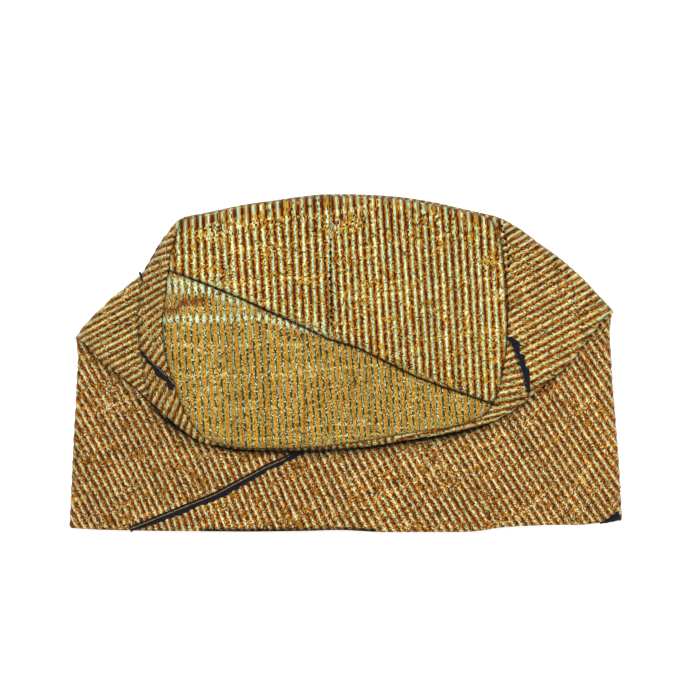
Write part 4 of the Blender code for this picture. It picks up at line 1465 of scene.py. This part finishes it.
class StitchTree(GrownTree):
    """Sets stitches along a curve."""

    def __init__(self, spacing: float, length: float, radius: float, seed: int = 3) -> None:
        """Builds the tree.

        Args:
            spacing: from one stitch to the next, in metres.
            length: of a stitch.
            radius: of its thread.
            seed: fixes the stitches' small differences.
        """
        sizes = {"Spacing": spacing, "Stitch length": length, "Thread radius": radius}
        super().__init__("stitch_row", sizes)
        size = self.start.outputs
        points = self.node("GeometryNodeCurveToPoints", {"mode": "LENGTH"},
                           Curve=size["Geometry"], Length=size["Spacing"])
        stitch = self.node("GeometryNodeMeshUVSphere", {}, Segments=8, Rings=5, Radius=1.0)
        shape = self.node("ShaderNodeCombineXYZ", {},
                          i0=self.maths("MULTIPLY", size["Stitch length"], 0.5),
                          i1=size["Thread radius"], i2=size["Thread radius"])
        jitter = self.node("FunctionNodeRandomValue", {"data_type": "FLOAT"}, Seed=seed)
        jitter.inputs[2].default_value = 0.75
        jitter.inputs[3].default_value = 1.15
        shaped = self.node("ShaderNodeVectorMath", {"operation": "SCALE"},
                           i0=shape.outputs[0], Scale=jitter.outputs[1])
        turned = self.node("FunctionNodeAlignRotationToVector", {"axis": "X"},
                           Vector=points.outputs["Tangent"])
        placed = self.node("GeometryNodeInstanceOnPoints", {}, Points=points.outputs["Points"],
                           Instance=stitch.outputs["Mesh"], Rotation=turned.outputs[0],
                           Scale=shaped.outputs[0])
        self.close(placed.outputs[0])

    def sewn(self, thread: ThreadLine, ground: BVHTree, finish: bpy.types.Material) -> bpy.types.Object:
        """A row of stitches along a thread line, as a plain mesh."""
        guide = thread.curve(ground)
        row = bpy.data.objects.new(f"{thread.name}_row", self.grown(guide, finish))
        bpy.context.scene.collection.objects.link(row)
        bpy.data.objects.remove(guide)
        return row


def linear(hex_colour: str) -> tuple[float, float, float, float]:
    """A colour written as an sRGB hex value, in linear light."""
    parts = [int(hex_colour[k:k + 2], 16) / 255 for k in (1, 3, 5)]
    return (*[v / 12.92 if v <= 0.04045 else ((v + 0.055) / 1.055) ** 2.4 for v in parts], 1.0)


class ShaderBench:
    """A material being made, with short calls for its nodes."""

    def __init__(self, name: str) -> None:
        """Starts a material of that name with an empty Principled shader."""
        self.material = bpy.data.materials.new(name)
        self.material.use_nodes = True
        self.tree = self.material.node_tree
        self.shader = self.tree.nodes["Principled BSDF"]

    def node(self, kind: str, settings: dict | None = None, **links) -> bpy.types.Node:
        """Adds a node."""
        return add_node(self.tree, kind, settings or {}, **links)

    def maths(self, operation: str, *values) -> bpy.types.NodeSocket:
        """The result of a sum on numbers or sockets."""
        return self.node("ShaderNodeMath", {"operation": operation},
                         **{f"i{k}": value for k, value in enumerate(values)}).outputs[0]

    def chance(self, *values) -> bpy.types.NodeSocket:
        """A random number from 0 to 1 for each set of up to three whole numbers."""
        cell = self.node("ShaderNodeCombineXYZ", {}, **{f"i{k}": value for k, value in enumerate(values)})
        return self.node("ShaderNodeTexWhiteNoise", {"noise_dimensions": "3D"}, Vector=cell.outputs[0]).outputs[0]

    def ramp(self, place, stops: tuple[tuple[float, str], ...]) -> bpy.types.NodeSocket:
        """A colour read from stops of place and hex colour."""
        node = self.node("ShaderNodeValToRGB", {}, Fac=place)
        band = node.color_ramp
        while len(band.elements) < len(stops):
            band.elements.new(1.0)
        for element, (position, colour) in zip(band.elements, stops):
            element.position = position
            element.color = linear(colour)
        return node.outputs[0]

    def blend(self, share, under, over, kind: str = "MIX") -> bpy.types.NodeSocket:
        """A mix of two colours."""
        node = self.node("ShaderNodeMix", {"data_type": "RGBA", "blend_type": kind}, i0=share)
        for entry, value in ((node.inputs[6], under), (node.inputs[7], over)):
            if isinstance(value, bpy.types.NodeSocket):
                self.tree.links.new(value, entry)
            else:
                entry.default_value = value
        return node.outputs[2]


@dataclass(frozen=True)
class StripClothFinish:
    """Strip cloth: cotton ribs in brown and gold with a flat pale metallic thread laid over them.

    Each ramp gives the colours across one rib, from 0 to 1: floats where the metallic thread lies
    on top, under where it passes underneath, broad where it lies flat and wide, light for single
    threads that stand out, gold in the cotton and a painted highlight on the metallic thread, and
    dark for single dark threads. bare is the cotton where the thread has slipped, and a pick is a
    gold weft that runs across some ribs. messy values act where the weave is uneven. tone tints
    the whole cloth.
    """

    name: str
    floats: tuple[tuple[float, str], ...]
    under: tuple[tuple[float, str], ...]
    broad: tuple[tuple[float, str], ...]
    light: tuple[tuple[float, str], ...]
    dark: tuple[tuple[float, str], ...]
    float_share: float
    tone: str
    bare: str = "#a8500c"
    light_share: float = 0.13
    dark_share: float = 0.12
    segment_mm: float = 3.6
    thread_mm: float = 0.7
    threads_in_rib: float = 6.0
    patch_mm: float = 7.0
    patch_ribs: float = 7.0
    pick_mm: float = 1.4
    pick_ribs: float = 24.0
    pick_share: float = 0.08
    unevenness: float = 0.10
    contrast: float = 0.20
    wander: float = 0.14
    messy_from: float = 0.54
    messy_jitter: float = 2.6
    messy_dives: float = 2.2
    messy_glints: float = 0.6
    pick_glints: float = 0.3
    slipped_share: float = 0.75
    tick_strength: float = 0.9
    rib_floor: float = 0.86
    rib_spread: float = 0.24
    shade_depth: float = 0.97
    gloss: float = 0.08

    def material(self) -> bpy.types.Material:
        """The cloth's material, which reads the piece's own weave map."""
        bench = ShaderBench(self.name)
        weave = bench.node("ShaderNodeUVMap", {"uv_map": "weave"})
        split = bench.node("ShaderNodeSeparateXYZ", {}, i0=weave.outputs[0])
        along, across = split.outputs[0], split.outputs[1]
        # Hand-woven picks are uneven: the ribs wander a little, and more in patches
        wander = bench.node("ShaderNodeTexNoise", {"noise_dimensions": "2D"},
                            Vector=weave.outputs[0], Scale=0.35, Detail=2.0)
        spread_out = bench.node("ShaderNodeCombineXYZ", {},
                                i0=bench.maths("DIVIDE", along, self.patch_mm),
                                i1=bench.maths("DIVIDE", across, self.patch_ribs))
        patch = bench.node("ShaderNodeTexNoise", {"noise_dimensions": "2D"},
                           Vector=spread_out.outputs[0], Scale=1.0, Detail=2.0)
        messy = bench.maths("SUBTRACT", patch.outputs[0], self.messy_from)
        messy = bench.maths("MAXIMUM", messy, 0.0)
        centred = bench.maths("SUBTRACT", across, self.wander / 2)
        bent = bench.maths("MULTIPLY_ADD", wander.outputs[0], self.wander, centred)
        # A rib holds threads_in_rib threads; a cell is one thread wide and thread_mm long
        thread = bench.maths("FLOOR", bench.maths("DIVIDE", along, self.thread_mm))
        strand = bench.maths("FLOOR", bench.maths("MULTIPLY", bent, self.threads_in_rib))
        speck = bench.chance(thread, strand, 1.0)
        second = bench.chance(thread, strand, 2.0)
        jitter = bench.maths("MULTIPLY_ADD", messy, self.messy_jitter, self.unevenness)
        shaken = bench.maths("MULTIPLY_ADD", bench.maths("SUBTRACT", second, 0.5), jitter, bent)
        place = bench.maths("FRACT", shaken)
        # The metallic thread floats over some picks and dives under others, a segment at a time
        rib = bench.maths("FLOOR", bent)
        shift = bench.maths("MULTIPLY", bench.chance(rib, 5.0, 3.0), 50.0)
        length = bench.maths("DIVIDE", along, self.segment_mm)
        segment = bench.maths("FLOOR", bench.maths("ADD", length, shift))
        bright = bench.node("ShaderNodeAttribute", {"attribute_name": "bright"}).outputs["Fac"]
        level = bench.maths("MULTIPLY_ADD", messy, -self.messy_dives, self.float_share)
        floats = bench.maths("LESS_THAN", bench.chance(segment, rib, 4.0), level)
        colour = bench.blend(floats, bench.ramp(place, self.under), bench.ramp(place, self.floats))
        colour = bench.blend(bright, colour, bench.ramp(place, self.broad))
        # Where the cloth is creased in, the metallic thread has slipped and the orange cotton shows
        slipped = bench.maths("MULTIPLY", bright, -self.slipped_share)
        colour = bench.blend(slipped, colour, linear(self.bare))
        # Crossing picks show as dark and light ticks about a millimetre apart; on the metallic thread the light
        # ticks are painted highlights
        tick = bench.maths("LESS_THAN", speck, self.dark_share)
        strength = bench.maths("MULTIPLY", tick, self.tick_strength)
        colour = bench.blend(strength, colour, bench.ramp(place, self.dark))
        # Now and then a pick of gold weft runs across a few dozen ribs
        pick = bench.chance(bench.maths("FLOOR", bench.maths("DIVIDE", along, self.pick_mm)),
                            bench.maths("FLOOR", bench.maths("DIVIDE", across, self.pick_ribs)), 6.0)
        picked = bench.maths("LESS_THAN", pick, self.pick_share)
        picked = bench.maths("MULTIPLY", picked, -self.pick_glints)
        level = bench.maths("ADD", picked, 1 - self.light_share)
        level = bench.maths("MULTIPLY_ADD", messy, -self.messy_glints, level)
        # Light ticks: gold threads in the cotton, and painted highlights where they fall on the metallic thread
        glint = bench.maths("GREATER_THAN", speck, level)
        strength = bench.maths("MULTIPLY", glint, self.tick_strength)
        colour = bench.blend(strength, colour, bench.ramp(place, self.light))
        # Painted shade: the shade attribute darkens folds, laps and seams where shadow falls; each thread and rib
        # also differs a little in tone
        shade = bench.node("ShaderNodeAttribute", {"attribute_name": "shade"}).outputs["Fac"]
        grey = bench.maths("MULTIPLY_ADD", second, 2 * self.contrast, 1 - self.contrast)
        lot = bench.chance(rib, 9.0, 2.0)
        rib_grey = bench.maths("MULTIPLY_ADD", lot, self.rib_spread, self.rib_floor)
        grey = bench.maths("MULTIPLY", grey, rib_grey)
        lit = bench.maths("MULTIPLY_ADD", shade, -self.shade_depth, 1.0)
        grey = bench.maths("MULTIPLY", grey, lit)
        level = bench.node("ShaderNodeCombineColor", {}, i0=grey, i1=grey, i2=grey)
        colour = bench.blend(1.0, colour, linear(self.tone), "MULTIPLY")
        colour = bench.blend(1.0, colour, level.outputs[0], "MULTIPLY")
        bench.tree.links.new(colour, bench.shader.inputs["Base Color"])
        bench.tree.links.new(bench.maths("MULTIPLY", floats, 0.2), bench.shader.inputs["Metallic"])
        rough = bench.maths("MULTIPLY_ADD", floats, -0.15, 0.7)
        bench.tree.links.new(rough, bench.shader.inputs["Roughness"])
        # Cotton and metallised film both have an index near 1.5; loose fibres shade their own gloss
        bench.shader.inputs["IOR"].default_value = 1.5
        bench.shader.inputs["Specular IOR Level"].default_value = self.gloss
        ridge = bench.maths("SINE", bench.maths("MULTIPLY", bench.maths("FRACT", across), math.pi))
        threads = bench.maths("MULTIPLY_ADD", second, 0.35, ridge)
        bump = bench.node("ShaderNodeBump", {}, Strength=0.6, Distance=0.4 * MM, Height=threads)
        bench.tree.links.new(bump.outputs[0], bench.shader.inputs["Normal"])
        return bench.material


# Wall strips: pale metallic thread on each rib between orange and dark brown cotton
WALL_CLOTH = StripClothFinish(
    "aso_oke_wall",
    floats=((0.0, "#5a2a12"), (0.12, "#6e3312"), (0.22, "#b5671c"), (0.33, "#8a7a3c"), (0.40, "#c2ccaa"),
            (0.50, "#dfe7d2"), (0.58, "#b5c19a"), (0.65, "#86702e"), (0.76, "#c07a22"), (0.90, "#7c3d14"),
            (1.0, "#5a2a12")),
    under=((0.0, "#5a2a12"), (0.12, "#6e3312"), (0.22, "#b5671c"), (0.34, "#8a6a2a"), (0.50, "#b08e40"),
           (0.66, "#8a6a2a"), (0.78, "#c07a22"), (0.90, "#7c3d14"), (1.0, "#5a2a12")),
    broad=((0.0, "#6a3212"), (0.12, "#7c3d14"), (0.22, "#b8621a"), (0.30, "#a79a52"), (0.36, "#b8cc92"),
           (0.50, "#cfe0b0"), (0.64, "#b2c68a"), (0.70, "#9a8a3e"), (0.80, "#b8681a"), (0.90, "#7c3d14"),
           (1.0, "#6a3212")),
    light=((0.0, "#c07a26"), (0.20, "#eda22c"), (0.38, "#e9f0cc"), (0.58, "#edf5d4"), (0.72, "#e8b040"),
           (1.0, "#cf6f1f")),
    dark=((0.0, "#1e0c06"), (0.25, "#4a2108"), (0.38, "#39472c"), (0.60, "#2c3a24"), (0.75, "#4a240c"),
          (1.0, "#200d06")),
    float_share=0.92, light_share=0.15, dark_share=0.18, unevenness=0.12, tone="#e0dac6",
)
# Crown, above the diagonal: the pale thread is broader, greener and nearly unbroken
CROWN_UPPER_CLOTH = StripClothFinish(
    "aso_oke_crown_upper",
    floats=((0.0, "#4c1d0a"), (0.10, "#5e280e"), (0.20, "#b4660f"), (0.28, "#c87e18"), (0.34, "#8f8a4c"),
            (0.38, "#b2caa2"), (0.50, "#d0e4cc"), (0.62, "#acc49c"), (0.66, "#8f8a44"), (0.72, "#c87e18"),
            (0.80, "#b0620f"), (0.90, "#5e280e"), (1.0, "#4c1d0a")),
    under=((0.0, "#4a1907"), (0.14, "#6a2c0a"), (0.22, "#c07212"), (0.32, "#b09034"), (0.50, "#d0a840"),
           (0.68, "#a4802e"), (0.78, "#c07210"), (0.88, "#66280a"), (1.0, "#4a1907")),
    broad=((0.0, "#8a4a12"), (0.18, "#b8680f"), (0.26, "#b0c698"), (0.50, "#cce0c4"), (0.74, "#aac290"),
           (0.82, "#b8680f"), (1.0, "#8a4a12")),
    light=((0.0, "#b87a20"), (0.18, "#d8a432"), (0.30, "#e2b448"), (0.36, "#e4f2d0"), (0.64, "#eefae2"),
           (0.70, "#e2b448"), (0.84, "#d8a22e"), (1.0, "#b87a20")),
    dark=((0.0, "#140804"), (0.24, "#341607"), (0.34, "#31472a"), (0.66, "#2b4024"), (0.78, "#341607"),
          (1.0, "#140804")),
    float_share=0.93, light_share=0.15, segment_mm=3.2, tone="#e2e2d0",
)
# Crown, below the diagonal: broad old-gold ribs parted by thin dark green lines with pale knots
CROWN_LOWER_CLOTH = StripClothFinish(
    "aso_oke_crown_lower",
    floats=((0.0, "#b9c690"), (0.10, "#a9b880"), (0.16, "#7c6a2c"), (0.24, "#d2a040"), (0.50, "#c9822a"),
            (0.76, "#d2983a"), (0.84, "#7c6a2c"), (0.90, "#a9b880"), (1.0, "#b9c690")),
    under=((0.0, "#27382a"), (0.09, "#2f4030"), (0.15, "#9a8436"), (0.24, "#d2a040"), (0.50, "#c9822a"),
           (0.76, "#d2983a"), (0.85, "#94782c"), (0.91, "#2f4030"), (1.0, "#27382a")),
    broad=((0.0, "#f4fadc"), (0.22, "#dce8b8"), (0.30, "#a08038"), (0.50, "#6a3410"), (0.70, "#a08038"),
           (0.78, "#dce8b8"), (1.0, "#f4fadc")),
    light=((0.0, "#f0f6dc"), (0.12, "#e6edc4"), (0.20, "#f0c860"), (0.50, "#f2b548"), (0.80, "#f0c860"),
           (0.88, "#e6edc4"), (1.0, "#f0f6dc")),
    dark=((0.0, "#16241c"), (0.15, "#4a3010"), (0.50, "#7a3410"), (0.85, "#4a3010"), (1.0, "#16241c")),
    float_share=0.26, segment_mm=4.5, dark_share=0.12, unevenness=0.10, contrast=0.28, tone="#ced6d4",
)


@dataclass(frozen=True)
class ThreadFinish:
    """Plain cotton or sewing thread: fine strands, a little uneven in colour, with a fine fuzz."""

    name: str
    dark: str
    light: str
    roughness: float = 0.9
    gloss: float = 0.2
    strand_mm: float = 0.8

    def material(self) -> bpy.types.Material:
        """The thread's material."""
        bench = ShaderBench(self.name)
        place = bench.node("ShaderNodeTexCoord", {}).outputs["Object"]
        noise = bench.node("ShaderNodeTexNoise", {}, Vector=place, Scale=1000.0 / self.strand_mm, Detail=3.0)
        colour = bench.ramp(noise.outputs[0], ((0.35, self.dark), (0.75, self.light)))
        bench.tree.links.new(colour, bench.shader.inputs["Base Color"])
        for entry, value in (("Roughness", self.roughness), ("IOR", 1.5), ("Specular IOR Level", self.gloss)):
            bench.shader.inputs[entry].default_value = value
        bump = bench.node("ShaderNodeBump", {}, Strength=0.6, Distance=0.2 * MM, Height=noise.outputs[0])
        bench.tree.links.new(bump.outputs[0], bench.shader.inputs["Normal"])
        return bench.material


# The weft of the strips' selvages is dull black cotton, a touch blue, with threads of about 0.8 mm
BLACK_COTTON = ThreadFinish("black_cotton_selvage", "#05070b", "#171c28")
# A satin gold thread of the laps' edges
GOLD_THREAD = ThreadFinish("gold_lap_thread", "#6a4a1a", "#c09650", 0.5, 0.5, 0.6)
# Dark polyester sewing thread
BLACK_THREAD = ThreadFinish("black_sewing_thread", "#080706", "#1e150d", 0.8, 0.1, 0.6)


@dataclass
class Studio:
    """A back-lit white table, soft lights and a camera that looks straight down."""

    distance: float = 3.0
    view_width: float = PICTURE_PIXELS * PIXEL
    aim_height: float = 0.022
    sensor_mm: float = 36.0
    table_size: float = 4.0
    table_glow: float = 0.35

    def build(self) -> None:
        """Makes the table, lights and camera."""
        self.table()
        self.lights()
        self.camera()

    def table(self) -> None:
        """The pale table top that the cap lies on."""
        mesh = bmesh.new()
        bmesh.ops.create_grid(mesh, x_segments=1, y_segments=1, size=self.table_size / 2)
        data = bpy.data.meshes.new("table_top")
        mesh.to_mesh(data)
        mesh.free()
        bench = ShaderBench("matt_white_table")
        bench.shader.inputs["Base Color"].default_value = linear("#f7f7f7")
        bench.shader.inputs["Roughness"].default_value = 0.9
        bench.shader.inputs["Emission Color"].default_value = linear("#ffffff")
        bench.shader.inputs["Emission Strength"].default_value = self.table_glow
        data.materials.append(bench.material)
        top = bpy.data.objects.new("table_top", data)
        top.location.z = -0.0002
        bpy.context.scene.collection.objects.link(top)

    def lights(self) -> None:
        """A large soft light above, a smaller one at the front right, and a bright room."""
        for name, place, size, power in (
            ("soft_top", (-0.30, 0.36, 1.75), 1.2, 26.0),
            ("low_side", (1.1, -0.9, 1.1), 0.9, 8.0),
        ):
            lamp = bpy.data.lights.new(name, "AREA")
            lamp.shape = "DISK"
            lamp.size = size
            lamp.energy = power
            light = bpy.data.objects.new(name, lamp)
            light.location = place
            light.rotation_euler = (-Vector(place)).to_track_quat("-Z", "Y").to_euler()
            bpy.context.scene.collection.objects.link(light)
        world = bpy.data.worlds.new("bright_room")
        world.use_nodes = True
        room = world.node_tree.nodes["Background"]
        room.inputs["Color"].default_value = (1, 1, 1, 1)
        room.inputs["Strength"].default_value = 0.62
        bpy.context.scene.world = world
        bpy.context.scene.view_settings.view_transform = "Standard"

    def camera(self) -> None:
        """The camera over the middle of the picture."""
        lens = bpy.data.cameras.new("over_the_table")
        lens.sensor_width = self.sensor_mm
        lens.lens = self.sensor_mm * (self.distance - self.aim_height) / self.view_width
        lens.clip_end = 10
        camera = bpy.data.objects.new("over_the_table", lens)
        middle = spot(PICTURE_PIXELS / 2, PICTURE_PIXELS / 2)
        camera.location = (*middle, self.distance)
        bpy.context.scene.collection.objects.link(camera)
        bpy.context.scene.camera = camera


@dataclass
class AsoOkeCap:
    """The whole cap, piece by piece."""

    form: FoldedForm = field(default_factory=FoldedForm)
    rib_height: float = 0.5 * MM

    def placed(self, piece: bpy.types.Object, slot: str, nodes: tuple[str, ...] = ()) -> bpy.types.Object:
        """Attaches a piece to its body and hides the solids that it stands for."""
        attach(piece, "root")
        if nodes:
            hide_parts(*nodes)
        log.info("%s has %d faces", piece.name, len(piece.data.polygons))
        return piece

    @staticmethod
    def ground_of(pieces: list[bpy.types.Object]) -> BVHTree:
        """The pieces' surface, for laying things on."""
        points, faces = [], []
        for piece in pieces:
            base = len(points)
            points += [vert.co.copy() for vert in piece.data.vertices]
            faces += [[base + k for k in face.vertices] for face in piece.data.polygons]
        return BVHTree.FromPolygons(points, faces)

    def build(self) -> None:
        """Builds and places every piece."""
        grid = self.form.grid()
        ribs = RibTree(self.rib_height)
        wall = CapWall(self.form, grid).build(ribs, WALL_CLOTH.material())
        self.placed(wall, "aso_oke", ("wall",))
        finishes = {"crown_upper": CROWN_UPPER_CLOTH.material(), "crown_lower": CROWN_LOWER_CLOTH.material()}
        upper, lower = CapCrown(self.form, grid).build(ribs, finishes)
        for panel, node, flat, area in (
            (upper, "crown_upper", (0.185, 0.106), 0.0134),
            (lower, "crown_lower", (0.178, 0.094), 0.0096),
        ):
            self.placed(panel, "aso_oke", (node,))
        cloth = self.ground_of([wall])
        top = self.ground_of([wall, upper, lower])
        self.trims(cloth, top)

    def trims(self, cloth: BVHTree, top: BVHTree) -> None:
        """Builds the selvages, lap edges and stitches.

        Args:
            cloth: the wall's surface.
            top: the surface of the wall and the crown together.
        """
        cotton = BLACK_COTTON.material()
        for node, selvage in SELVAGES.items():
            self.placed(selvage.build(cloth, cotton), "selvage", (node,))
        gold = GOLD_THREAD.material()
        black = BLACK_THREAD.material()
        for name, line, finish, slot, radius, lift in (
            ("lap_gold_edge", LAP_LINE[1:4] + ((286, 458.5),), gold, "aso_oke", 0.17, 0.4),
            ("left_slit_gold_edge", LEFT_SLIT, gold, "aso_oke", 0.15, 0.35),
            ("lap_black_edge", [(x - 0.9, y - 1.6) for x, y in LAP_LINE[1:5]], cotton, "selvage", 0.46, 0.2),
            ("left_notch", ((139, 272.5), (141, 276), (143, 281)), cotton, "selvage", 0.7, 0.3),
            ("right_slit_branch", ((506, 337), (511, 342.5), (516, 345), (521, 345)), cotton, "selvage",
             0.45, 0.6),
        ):
            cord = ThreadLine(name, line, radius * MM, lift=lift * MM).cord(top, finish)
            self.placed(cord, slot)
        close = StitchTree(spacing=1.9 * MM, length=2.0 * MM, radius=0.46 * MM)
        loose = StitchTree(spacing=3.3 * MM, length=1.9 * MM, radius=0.75 * MM, seed=8)
        for rows, name, line in (
            (close, "diagonal_stitches", DIAGONAL_LINE[1:]),
            (loose, "upper_seam_stitches", ((331, 240), (330, 280), (331.5, 324))),
            (loose, "crown_edge_stitches", ((502, 226), (505.5, 240), (508, 258), (508.5, 266))),
        ):
            self.placed(rows.sewn(ThreadLine(name, line, lift=0.1 * MM), top, black), "selvage")


def main() -> None:
    """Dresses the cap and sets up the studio."""
    logging.basicConfig(level=logging.INFO)
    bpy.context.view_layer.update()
    AsoOkeCap().build()
    Studio().build()


if __name__ == "__main__":
    main()
